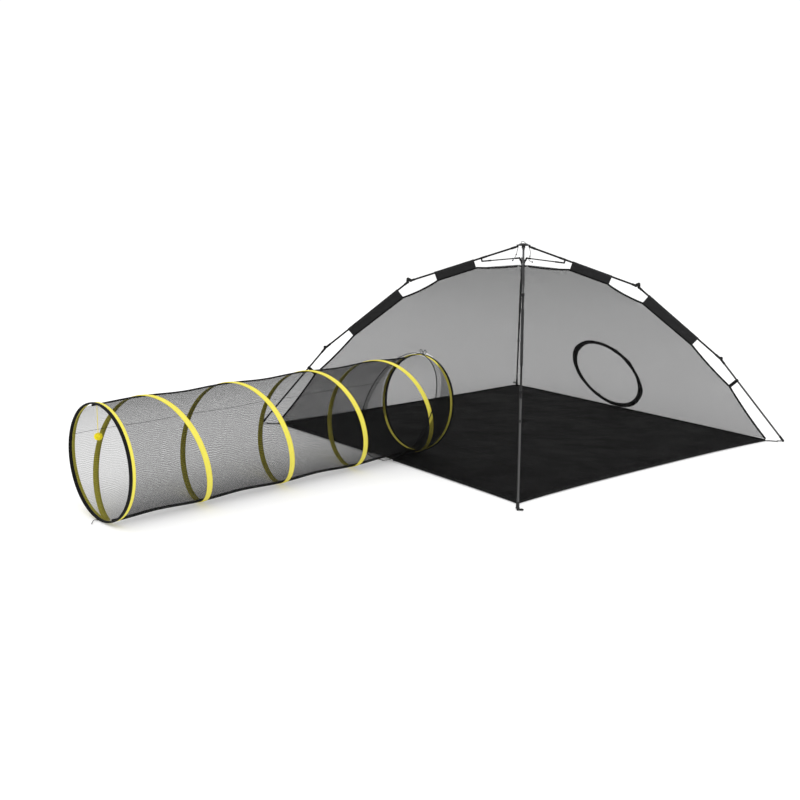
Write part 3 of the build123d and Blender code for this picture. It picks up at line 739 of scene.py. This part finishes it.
def build_sheet():
    """Floor sheet with gentle swells and a low rim where the hem lifts it."""
    count = 150
    points, uvs = [], []
    for i in range(count + 1):
        for j in range(count + 1):
            x = FLOOR_HALF * (2 * i / count - 1)
            y = FLOOR_HALF * (2 * j / count - 1)
            inset = min(1 - abs(x) / FLOOR_HALF, 1 - abs(y) / FLOOR_HALF)
            swell = 0.0024 * (1 + wobble(x * 3.1, y * 3.1)) + 0.0010 * (1 + wobble(x * 11, y * 11, 5))
            corner = min(1, 8 * (2 - abs(x / FLOOR_HALF) - abs(y / FLOOR_HALF)))
            rim = 0.0075 * exp(-inset * 42) * corner
            x, y = bowed_in(x, y)
            points.append(Vector((x, y, SHEET_HEIGHT + swell * min(1, inset * 12) + rim)))
            uvs.append((x, y))
    faces = grid_faces(count + 1, count + 1)
    sheet = mesh_piece("floor_cloth", points, faces, uvs, FLOOR_CLOTH)
    solid = sheet.modifiers.new("thickness", "SOLIDIFY")
    solid.thickness = SHEET_THICK
    solid.offset = -1.0
    stand_for(sheet, "tent_base", "floor_sheet")


def hem_line():
    """Line of the hem's middle, from one side of the port round the floor to the other."""
    line = FLOOR_HALF - HEM_HALF_WIDE
    port_half = sqrt((PORT_RADIUS + 0.002) ** 2 - (TUNNEL_INNER.z - HEM_TOP) ** 2)
    port_y = TUNNEL_INNER.y - (FLOOR_HALF - abs(TUNNEL_INNER.x)) * tan(TUNNEL_YAW)
    start, end = (-line, port_y + port_half), (-line, port_y - port_half)
    corners = [start, (-line, line), (line, line), (line, -line), (-line, -line), end]
    walls = [2, 1, 0, 3, 2]
    spine = []
    for side, (x0, y0), (x1, y1) in zip(walls, corners, corners[1:]):
        steps = max(int(dist((x0, y0), (x1, y1)) / 0.012), 4)
        inward = Vector((*EDGE_INWARD[side], 0))
        for i in range(steps):
            spot = Vector((x0 + (x1 - x0) * i / steps, y0 + (y1 - y0) * i / steps, 0))
            share = (spot.x if side % 2 else spot.y) / FLOOR_HALF
            height = HEM_MIDDLE + 0.0022 * (1 - share ** 4)
            spine.append(spot + inward * edge_bow(side, share) + UP * height)
    inward = Vector((*EDGE_INWARD[walls[-1]], 0))
    spine.append(Vector((*end, HEM_MIDDLE)) + inward * edge_bow(walls[-1], end[1] / FLOOR_HALF))
    return spine


def build_hem():
    """Padded hem round the floor, open where the tunnel comes in."""
    spine = hem_line()

    def section(i):
        pucker = 1 + 0.14 * wobble(i * 0.8)
        return oval(0.005 * pucker, HEM_HALF_WIDE * 0.97, 12, 2.6)

    hem = sweep("hem_binding", spine, side_vectors(spine, UP), section, BINDING)
    stand_for(hem, "tent_base", "floor_hem")


# Straps.
def build_corner_tie(k, azimuth):
    """Webbing and ring that join a corner of the floor to its foot."""
    corner = FLOOR_HALF * sqrt(2)
    way = outward(azimuth)
    across = way.cross(UP)
    start, end, steps = corner - 0.012, corner + 0.060, 14
    spine = []
    for i in range(steps + 1):
        height = 0.0065 - 0.0042 * (i / steps) ** 0.6
        spine.append(way * (start + (end - start) * i / steps) + UP * height)

    def section(i):
        half = 0.0072 - 0.0022 * abs(wobble(i * 0.7, k))
        return oval(half, 0.0011, 10, 3.5)

    tie = sweep(f"corner_tie_{k}", spine, [(across, UP)] * len(spine), section, WEBBING)
    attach(tie, "tent_base")

    centre = way * (corner + 0.066) + UP * 0.005
    radius = 0.0085
    hoop = [centre + way * (radius * cos(a)) + across * (radius * sin(a)) for a in turns(24)]
    sides = [((p - centre).normalized(), UP) for p in hoop]
    wire = oval(0.0012, 0.0012, 8)
    ring = sweep(f"corner_ring_{k}", hoop, sides, lambda i: wire, NYLON, closed=True)
    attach(ring, "tent_base")
    return tie


def build_clip_strap(k, azimuth):
    """Webbing from a lower pole's clip to the canopy's ridge."""
    pole = Pole(azimuth, ELBOW_B, FOOT_BALL)
    top = pole.at(CLIP_ALONG, out=-0.0052)
    bottom = outward(azimuth) * (WALL_RIDGE[1][0] * sqrt(2)) + UP * WALL_RIDGE[1][1]
    spine = [top.lerp(bottom, i / 10) for i in range(11)]
    flat = oval(CLIP_HALF_WIDE, 0.0010, 10, 3.5)
    sides = side_vectors(spine, pole.along)
    strap = sweep(f"clip_strap_{k}", spine, sides, lambda i: flat, WEBBING)
    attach(strap, f"lower_arm_{k}")
    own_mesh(strap)


def build_straps():
    """Corner tie and clip strap of each arm; the CAD node of all four corner straps is hidden."""
    for k, azimuth in ARM_AZIMUTHS.items():
        build_corner_tie(k, azimuth)
        build_clip_strap(k, azimuth)
    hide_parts("corner_straps")


def turns(count):
    return [tau * i / count for i in range(count)]


# Tunnel.
def tunnel_sides(turn):
    """The ways out from the tunnel and round it. The turn starts at the bottom and climbs the left."""
    radial = -UP * cos(turn) + TUNNEL_LEFT * sin(turn)
    return radial, UP * sin(turn) + TUNNEL_LEFT * cos(turn)


def on_tunnel(turn, along, radius):
    return TUNNEL_MOUTH + TUNNEL_WAY * along + tunnel_sides(turn)[0] * radius


def helix_turn(along):
    return tau * (along - HELIX_INSET) / HELIX_PITCH


def waist_at(along, turn):
    """0 on the coil, 1 half way between two of its turns."""
    return 0.5 - 0.5 * cos(helix_turn(along) - turn)


def fold_tunnel(piece):
    """A tunnel piece moves with the tent's base and gets its own mesh."""
    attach(piece, "tent_base")
    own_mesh(piece)


def build_tunnel_skin():
    """Netting drawn in between the turns of the coil."""
    rows, columns = 260, 96
    points, uvs = [], []
    for i in range(rows + 1):
        for j in range(columns):
            turn = tau * j / columns
            end = TUNNEL_LENGTH - 0.010 - TUNNEL_RADIUS * cos(turn) * tan(INNER_TILT)
            along = 0.006 + (end - 0.006) * i / rows
            waist = waist_at(along, turn)
            wrinkle = 0.0018 * wobble(along * 26 + turn, turn * 5.0) * waist
            radius = TUNNEL_RADIUS + 0.0012 - TUNNEL_WAIST * waist ** 1.2 - abs(wrinkle)
            points.append(on_tunnel(turn, along, radius))
            uvs.append((turn * TUNNEL_RADIUS, along))
    faces = grid_faces(rows + 1, columns, wrap_columns=True)
    mesh = mesh_piece("tunnel_netting", points, faces, uvs, TUNNEL_NET)
    fix_seam(mesh, tau * TUNNEL_RADIUS)
    fold_tunnel(mesh)
    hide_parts("tunnel_mesh")


def fix_seam(piece, whole):
    """Lets the cloth coordinate run on past the join instead of jumping back."""
    layer = piece.data.uv_layers["cloth"].data
    for face in piece.data.polygons:
        across = [layer[k].uv.x for k in face.loop_indices]
        if max(across) - min(across) > whole / 2:
            for k in face.loop_indices:
                if layer[k].uv.x < whole / 2:
                    layer[k].uv.x += whole


def build_coil_tape():
    """Yellow tape sewn over the coil spring, with a low crown where the wire runs."""
    steps = 420
    span = HELIX_TURNS * HELIX_PITCH
    spine, sides = [], []
    lead = atan2(HELIX_PITCH, tau * TAPE_RADIUS)
    for i in range(steps + 1):
        along = HELIX_INSET + span * i / steps
        turn = helix_turn(along)
        radial, round_way = tunnel_sides(turn)
        spine.append(on_tunnel(turn, along, TAPE_RADIUS))
        wide = TUNNEL_WAY * cos(lead) - round_way * sin(lead)
        sides.append((wide, radial))
    half = TAPE_WIDE / 2
    rise = [(half, 0.0), (half * 0.8, 0.0004), (half * 0.3, 0.0006), (half * 0.14, 0.0014)]
    outer = [(-a, b) for a, b in rise] + [(0.0, 0.0019)] + rise[::-1]
    ring = outer + [(half, -0.0008), (0.0, -0.0012), (-half, -0.0008)]

    def section(i):
        ease = 0.0004 * wobble(i * 0.31)
        return [(a * (1 + 0.05 * wobble(i * 0.17, 4)), b + ease) for a, b in ring]

    tape = sweep("coil_tape", spine, sides, section, YELLOW_TAPE)
    fold_tunnel(tape)
    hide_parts("tunnel_tape", "tunnel_spring")
    stitch_half = half * 0.88
    thread = oval(0.0005, 0.0005, 6)
    for side, label in ((-1, "a"), (1, "b")):
        line = [p + s[0] * (side * stitch_half) + s[1] * 0.0007 for p, s in zip(spine, sides)]
        edge = sweep(f"coil_stitching_{label}", line, sides, lambda i: thread, YELLOW_CORD)
        fold_tunnel(edge)


# Seams along the tunnel: name, turn from the bottom, half width, half thickness.
SEAMS = [
    ("bottom_seam", -0.27, 0.0062, 0.0058),
    ("top_seam", 2.88, 0.0042, 0.0038),
    ("left_seam", 1.90, 0.0007, 0.0004),
]


def build_tunnel_seams():
    """Bound seams along the bottom and the top, and a thin one on the left side."""
    for name, turn, half, thick in SEAMS:
        spine, sides = [], []
        radial, round_way = tunnel_sides(turn)
        steps = 220
        for i in range(steps + 1):
            along = 0.010 + (TUNNEL_LENGTH - 0.048) * i / steps
            drawn_in = TUNNEL_WAIST * waist_at(along, turn) ** 1.2
            spine.append(on_tunnel(turn, along, TUNNEL_RADIUS + 0.0014 - 0.5 * thick - drawn_in))
            sides.append((round_way, radial))

        def section(i):
            return oval(half * (1 + 0.18 * wobble(i * 0.5, half)), thick, 10, 3)

        fold_tunnel(sweep(name, spine, sides, section, BINDING))


def hoop_places(centre, tilt, radius, count=192):
    """Points round a hoop and their (outward, along the tunnel) vectors."""
    top = UP * cos(tilt) + TUNNEL_WAY * sin(tilt)
    way = TUNNEL_WAY * cos(tilt) - UP * sin(tilt)
    spine, sides = [], []
    for turn in turns(count):
        radial = -top * cos(turn) + TUNNEL_LEFT * sin(turn)
        spine.append(centre + radial * radius)
        sides.append((radial, way))
    return spine, sides


def build_hoop(name, centre, tilt, inward, body, node):
    """End hoop: wire in a black binding with a yellow band beside it on the tunnel's side."""
    spine, sides = hoop_places(centre, tilt, HOOP_RADIUS)

    def bound(i):
        pucker = 1 + 0.10 * wobble(i * 0.55, inward)
        return oval(0.0038 * pucker, 0.0074 * (1 + 0.05 * wobble(i * 0.9, 3)), 14, 2.4)

    binding = sweep(name, spine, sides, bound, BINDING, closed=True)
    stand_for(binding, body, node)
    thread = oval(0.0004, 0.0004, 6)

    def band(i):
        return [(a + 0.0002 * wobble(i * 0.6), b) for a, b in oval(0.0012, 0.0072, 12, 3.5)]

    # Label, distance from the hoop along the tunnel, lift, section and material.
    strips = (
        ("band", 0.0135, 0.0, band, YELLOW_TAPE),
        ("stitching", 0.0188, 0.0012, lambda i: thread, YELLOW_CORD),
    )
    band_spine, _ = hoop_places(centre, tilt, HOOP_RADIUS + 0.0006)
    for label, shift, lift, shape, material in strips:
        line = [p + s[1] * (inward * shift) + s[0] * lift for p, s in zip(band_spine, sides)]
        strip = sweep(f"{name}_{label}", line, sides, shape, material, closed=True)
        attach(strip, body)


def build_ties():
    """Ribbon at the foot of the mouth, a cord bow on the inner hoop."""
    foot = on_tunnel(0.10, -0.004, 0.2365)
    # Out of the mouth, to the right and up.
    ribbon_stops = [(0.0, 0.0, 0.0), (0.016, 0.0, 0.004), (0.030, 0.010, 0.001), (0.044, 0.030, 0.0015)]
    stops = [foot - TUNNEL_WAY * a - TUNNEL_LEFT * b + UP * c for a, b, c in ribbon_stops]
    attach(cord("mouth_ribbon", stops, 0.0014, BLACK_CORD), "tunnel_mouth")
    knot_radial = UP * cos(INNER_TILT) + TUNNEL_WAY * sin(INNER_TILT)
    knot = TUNNEL_INNER + knot_radial * 0.2375
    # Sideways, back along the tunnel and up.
    bow = {
        "loop": [
            (0.0, 0.0, 0.0), (0.012, 0.0, 0.020), (0.022, 0.0, 0.012), (0.014, 0.0, 0.002), (0.0, 0.0, 0.0)
        ],
        "end": [(0.0, 0.0, 0.0), (0.012, 0.008, 0.002), (0.022, 0.022, -0.001)],
    }
    for side, word in ((-1, "right"), (1, "left")):
        lean = TUNNEL_LEFT * side
        for label, places in bow.items():
            stops = [knot + lean * a - TUNNEL_WAY * b + UP * c for a, b, c in places]
            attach(cord(f"bow_{label}_{word}", stops, 0.0015, BLACK_CORD), "tent_base")


def ball_core(centre):
    """Points, faces and cloth coordinates of the uneven ball under the pile."""
    points, uvs = [], []
    rings, spokes = 40, 64
    for i in range(rings + 1):
        tilt = pi * i / rings
        for turn in turns(spokes):
            flat = sin(tilt)
            way = Vector((flat * cos(turn), flat * sin(turn), cos(tilt)))
            radius = BALL_CORE + 0.0022 * wobble(*(way * 5)) + 0.0012 * wobble(*(way * 17))
            points.append(centre + way * radius)
            uvs.append((turn * 0.014, tilt * 0.014))
    return points, grid_faces(rings + 1, spokes, wrap_columns=True), uvs


def add_strand(points, faces, uvs, centre, n):
    """One tapering strand of the pile. The strands are spread evenly by the golden angle."""
    golden = pi * (3 - sqrt(5))
    z = 1 - 2 * (n + 0.5) / BALL_STRANDS
    flat = sqrt(1 - z * z)
    way = Vector((flat * cos(golden * n), flat * sin(golden * n), z))
    comb = Vector((wobble(n * 0.37), wobble(n * 0.37, 9), wobble(n * 0.37, 0, 9) - 0.15))
    length = 0.0042 + 0.0012 * wobble(n * 1.7)
    side = way.orthogonal().normalized() * 0.00045
    foot = centre + way * 0.0122
    bend = foot + way * length * 0.6 + comb * 0.0006
    tip = foot + way * length + comb * 0.0022
    base = len(points)
    points.extend([foot - side, foot + side, bend + side * 0.7, bend - side * 0.7, tip])
    uvs.extend([(0, 0)] * 5)
    faces.append((base, base + 1, base + 2, base + 3))
    faces.append((base + 3, base + 2, base + 4))


def build_toy():
    """Plush ball on a cord below the top of the mouth."""
    top = TUNNEL_MOUTH + UP * 0.2255
    centre = top - UP * (TOY_CORD + 0.0162)
    stops = [top, top - UP * 0.05 + TUNNEL_LEFT * 0.0007, centre + UP * 0.013]
    string = cord("toy_string", stops, 0.0012, YELLOW_CORD)
    stand_for(string, "toy", "toy_cord")

    points, faces, uvs = ball_core(centre)
    for n in range(BALL_STRANDS):
        add_strand(points, faces, uvs, centre, n)
    ball = mesh_piece("plush_ball", points, faces, uvs, PLUSH)
    stand_for(ball, "toy", "toy_ball")


# Port and door.
def on_wall(turn, radius, lift):
    """A point round the tunnel where it meets the tent's wall, moved out along the tunnel by lift."""
    radial = tunnel_sides(turn)[0]
    start = TUNNEL_INNER + radial * radius
    normal = Vector((-cos(WALL_LEAN), 0, sin(WALL_LEAN)))
    foot = Vector((-FLOOR_HALF, 0, CANOPY_FOOT))
    travel = (foot - start).dot(normal) / TUNNEL_WAY.dot(normal)
    return start + TUNNEL_WAY * (travel - lift), radial


def build_port_edge():
    """Thin bound edge of the wall's opening for the tunnel."""
    spine, sides = [], []
    for turn in turns(220):
        point, radial = on_wall(turn, PORT_RADIUS + 0.0012, 0.012)
        point.z = max(point.z, 0.0032)
        spine.append(point)
        sides.append((radial, TUNNEL_WAY))

    def section(i):
        gather = 0.0005 * sin(i * 1.9) + 0.0004 * wobble(i * 0.6)
        return [(a + 0.0011 + gather, b) for a, b in oval(0.0011, 0.0030, 10, 3)]

    collar = sweep("port_edge", spine, sides, section, BINDING, closed=True)
    stand_for(collar, "tent_base", "port_collar")


def build_port_sleeve():
    """Netting sleeve that runs in from the port's edge along the tunnel to the inner hoop."""
    rows, columns = 44, 288
    points, uvs = [], []
    for i in range(rows + 1):
        share = i / rows
        for turn in turns(columns):
            outer, radial = on_wall(turn, PORT_RADIUS + 0.0010, 0.008)
            outer.z = max(outer.z, 0.0034)
            tilt_back = TUNNEL_RADIUS * cos(turn) * tan(INNER_TILT)
            inner = on_tunnel(turn, TUNNEL_LENGTH - 0.026 - tilt_back, PORT_RADIUS - 0.0002)
            pleat = 0.0016 * sin(turn * 36 + 1.5 * wobble(turn * 3)) * share ** 1.5
            fall = 0.0014 * wobble(turn * 4, share * 3) * sin(pi * share)
            spot = outer.lerp(inner, share) + radial * (abs(pleat) + abs(fall))
            spot.z = max(spot.z, 0.0030)
            points.append(spot)
            uvs.append((turn * PORT_RADIUS, share * 0.25))
    faces = grid_faces(rows + 1, columns, wrap_columns=True)
    sleeve = mesh_piece("port_sleeve_netting", points, faces, uvs, PORT_NET)
    fix_seam(sleeve, tau * PORT_RADIUS)
    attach(sleeve, "tent_base")


def door_spot(turn, radius, lift=0.0):
    """A point of the door's plane. The turn starts at the top and runs towards +Y."""
    up_wall = DOOR_SLOPE * (radius * cos(turn))
    return DOOR_CENTRE + up_wall + ACROSS_WALL * (radius * sin(turn)) + DOOR_NORMAL * lift


def gather_flap(piece):
    """A piece of the flap moves with the door and gets its own mesh."""
    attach(piece, "door")
    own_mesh(piece)


def build_door_hoop():
    """Gathered hoop of the round door: a wavy ring with bunched cloth on it."""
    spine, sides = [], []
    count = 320
    for turn in turns(count):
        flatten = -0.013 * max(cos(turn), 0) ** 2
        bulge = 0.004 * max(cos(turn - DOOR_BULGE), 0) ** 3
        uneven = 0.003 * wobble(cos(turn) * 2, sin(turn) * 2)
        centre = door_spot(turn, DOOR_RADIUS + flatten + bulge + uneven)
        spine.append(centre)
        sides.append(((centre - DOOR_CENTRE).normalized(), DOOR_NORMAL))

    def section(i):
        turn = tau * i / count
        c, s = cos(turn), sin(turn)
        lump = sum(high * exp(-((turn - at) / wide) ** 2) for at, wide, high in DOOR_LUMPS)
        thick = 0.0098 + 0.0026 * wobble(c * 2.2, s * 2.2, 3) + 0.0010 * wobble(c * 22, s * 22) + lump
        ring = []
        for n, (a, b) in enumerate(oval(thick, 0.0056, 14)):
            crease = 1 + 0.20 * wobble(c * 34 + n, s * 34, n * 0.6)
            ring.append((a * crease, b * crease))
        return ring

    hoop = sweep("door_hoop", spine, sides, section, BINDING, closed=True)
    hang(hoop)
    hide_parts("door_ring")


def build_door_flap():
    """Netting flap of the door, sagging a little, with a bound edge."""
    rings, spokes = 34, 128
    points, uvs = [], []
    for i in range(rings + 1):
        share = i / rings
        radius = FLAP_RADIUS * (0.002 + 0.998 * i / rings)
        for turn in turns(spokes):
            c, s = cos(turn), sin(turn)
            sag = -0.006 * (1 - share ** 2) + 0.0016 * wobble(c * 3 * share, s * 3 * share, 2)
            points.append(door_spot(turn, radius, sag))
            uvs.append((radius * s, radius * c))
    faces = grid_faces(rings + 1, spokes, wrap_columns=True)
    flap = mesh_piece("door_netting", points, faces, uvs, CANOPY_NET)
    gather_flap(flap)
    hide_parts("door_flap")
    spine = [door_spot(turn, FLAP_RADIUS - 0.001) for turn in turns(160)]
    sides = [((p - DOOR_CENTRE).normalized(), DOOR_NORMAL) for p in spine]
    tape = oval(0.0028, 0.0014, 10, 3)
    edge = sweep("door_flap_binding", spine, sides, lambda i: tape, BINDING, closed=True)
    gather_flap(edge)


def build_zip():
    """Slider of the door's zip, and its pull tab."""
    spine = [door_spot(ZIP_SEAT + 0.0001, DOOR_RADIUS + 0.009 - 0.018 * i / 8, 0.0085) for i in range(9)]

    def body(i):
        return oval(0.0022, SLIDER_WIDTHS[i], 12, 3.5)

    slider = sweep("door_zip_slider", spine, side_vectors(spine, DOOR_NORMAL), body, ZIP_PLASTIC)
    hang(slider, "door_zip")
    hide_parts("zip_slider")
    start = door_spot(ZIP_SEAT, DOOR_RADIUS, 0.0112)
    spine = [start - DOOR_SLOPE * (0.026 * i / 10) - DOOR_NORMAL * (0.002 * i / 10) for i in range(11)]

    def pull(i):
        return oval(0.0008, 0.0022 + 0.0014 * sin(pi * i / 10), 10, 3)

    tab = sweep("door_zip_tab", spine, side_vectors(spine, DOOR_NORMAL), pull, ZIP_PLASTIC)
    hang(tab, "door_zip")


# Cords at the hub.
def bead(name, centre, radius, body):
    """Knotted end of a cord."""
    spine = [centre + UP * (radius * (0.98 - 1.96 * i / 10)) for i in range(11)]

    def section(i):
        share = 0.98 - 1.96 * i / 10
        wide = radius * sqrt(max(1 - share * share, 0.03))
        return [(a * (1 + 0.18 * wobble(n * 0.9, i * 0.8)), b * (1 + 0.18 * wobble(n * 0.9, i * 0.8, 4)))
                for n, (a, b) in enumerate(oval(wide, wide, 12))]

    piece = sweep(name, spine, [(Vector((1, 0, 0)), Vector((0, 1, 0)))] * 11, section, BLACK_CORD)
    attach(piece, body)


def build_cords():
    """Carrying loop on the cap, two knotted release cords, and the tie that holds the canopy's top."""
    stops = [(-0.017, 0, 0.9868), (-0.012, 0.004, 0.9945), (0.004, 0.006, 0.9955), (0.017, 0.002, 0.9868)]
    loop = cord("carry_loop", stops, 0.0012, BLACK_CORD)
    stand_for(loop, "hub", "release_cords")
    release = {
        "left": [
            (-0.034, 0.002, 0.974), (-0.041, 0.003, 0.950), (-0.050, 0.0, 0.932), (-0.066, -0.004, 0.915),
            (-0.080, -0.006, 0.904),
        ],
        "right": [
            (0.002, -0.034, 0.974), (0.005, -0.044, 0.948), (0.0, -0.048, 0.925), (-0.004, -0.046, 0.905),
            (0.006, -0.060, 0.896),
        ],
    }
    for name, stops in release.items():
        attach(cord(f"release_cord_{name}", stops, 0.0014, BLACK_CORD), "hub")
        bead(f"release_knot_{name}", Vector(stops[2]), 0.0034, "hub")
        bead(f"release_bead_{name}", Vector(stops[4]), 0.0040, "hub")

    spine, sides = [], []
    for turn in turns(48):
        radial = Vector((cos(turn), sin(turn), 0))
        spine.append(radial * 0.0165 + UP * 0.8705)
        sides.append((radial, UP))

    def section(i):
        return oval(0.0042 + 0.0012 * sin(i * 2.1), 0.0024, 10)

    hang(sweep("canopy_top_gather", spine, sides, section, BINDING, closed=True))


# Stage, light and camera.
def build_ground():
    """Plain pale floor, lit a little from within so that it reads as white."""
    s = Shader("pale_floor")
    tone = s.noise(s.coordinates("Object"), 2.0)
    s.set(Base_Color=s.blend(tone, (0.80, 0.80, 0.80, 1), (0.82, 0.82, 0.82, 1)), Roughness=0.9)
    s.set(Specular_IOR_Level=0.0, Emission_Color=(1, 1, 1, 1), Emission_Strength=STAGE_GLOW)
    mesh = bpy.data.meshes.new("studio_floor")
    corners = [(STAGE_HALF * a, STAGE_HALF * b, 0) for a, b in ((-1, -1), (1, -1), (1, 1), (-1, 1))]
    mesh.from_pydata(corners, [], [(0, 1, 2, 3)])
    mesh.materials.append(s.material)
    ground = add_object("studio_floor", mesh)
    ground.location.z = -STAGE_DROP


def build_light():
    """White light from all round, and soft lamps from above."""
    world = bpy.data.worlds.new("studio")
    bpy.context.scene.world = world
    world.use_nodes = True
    background = world.node_tree.nodes["Background"]
    background.inputs[0].default_value = (1, 1, 1, 1)
    background.inputs[1].default_value = WORLD_LIGHT
    for name, place, size, power in LAMPS:
        lamp = bpy.data.lights.new(name, "AREA")
        lamp.size = size
        lamp.energy = power
        holder = add_object(name, lamp)
        holder.location = place
        holder.rotation_euler = (LAMP_TARGET - Vector(place)).to_track_quat("-Z", "Y").to_euler()


def build_camera():
    """Camera 1.4 m up and nearly six metres from the middle of the tent."""
    level = Vector((-sin(CAMERA_HEADING), cos(CAMERA_HEADING), 0))
    forward = level * cos(CAMERA_PITCH) - UP * sin(CAMERA_PITCH)
    right = level.cross(UP).normalized()
    top = right.cross(forward)
    tilted_right = right * cos(CAMERA_ROLL) + top * sin(CAMERA_ROLL)
    tilted_top = tilted_right.cross(forward)
    lens = bpy.data.cameras.new("camera")
    lens.sensor_width = SENSOR_MM
    lens.lens = LENS_MM
    camera = add_object("camera", lens)
    axes = Matrix((tilted_right, tilted_top, -forward)).transposed()
    camera.matrix_world = Matrix.Translation(CAMERA_PLACE) @ axes.to_4x4()
    bpy.context.scene.camera = camera


paint_frame()
build_sheet()
build_hem()
build_canopy()
build_sleeves()
build_straps()
build_tunnel_skin()
build_coil_tape()
build_tunnel_seams()
build_hoop("mouth_hoop", TUNNEL_MOUTH, 0.0, 1, "tunnel_mouth", "mouth_ring")
build_hoop("inner_hoop", TUNNEL_INNER, INNER_TILT, -1, "tent_base", "inner_ring")
build_ties()
build_toy()
build_port_edge()
build_port_sleeve()
build_door_hoop()
build_door_flap()
build_zip()
build_cords()
build_ground()
build_light()
build_camera()
bpy.context.scene.view_settings.view_transform = "Standard"
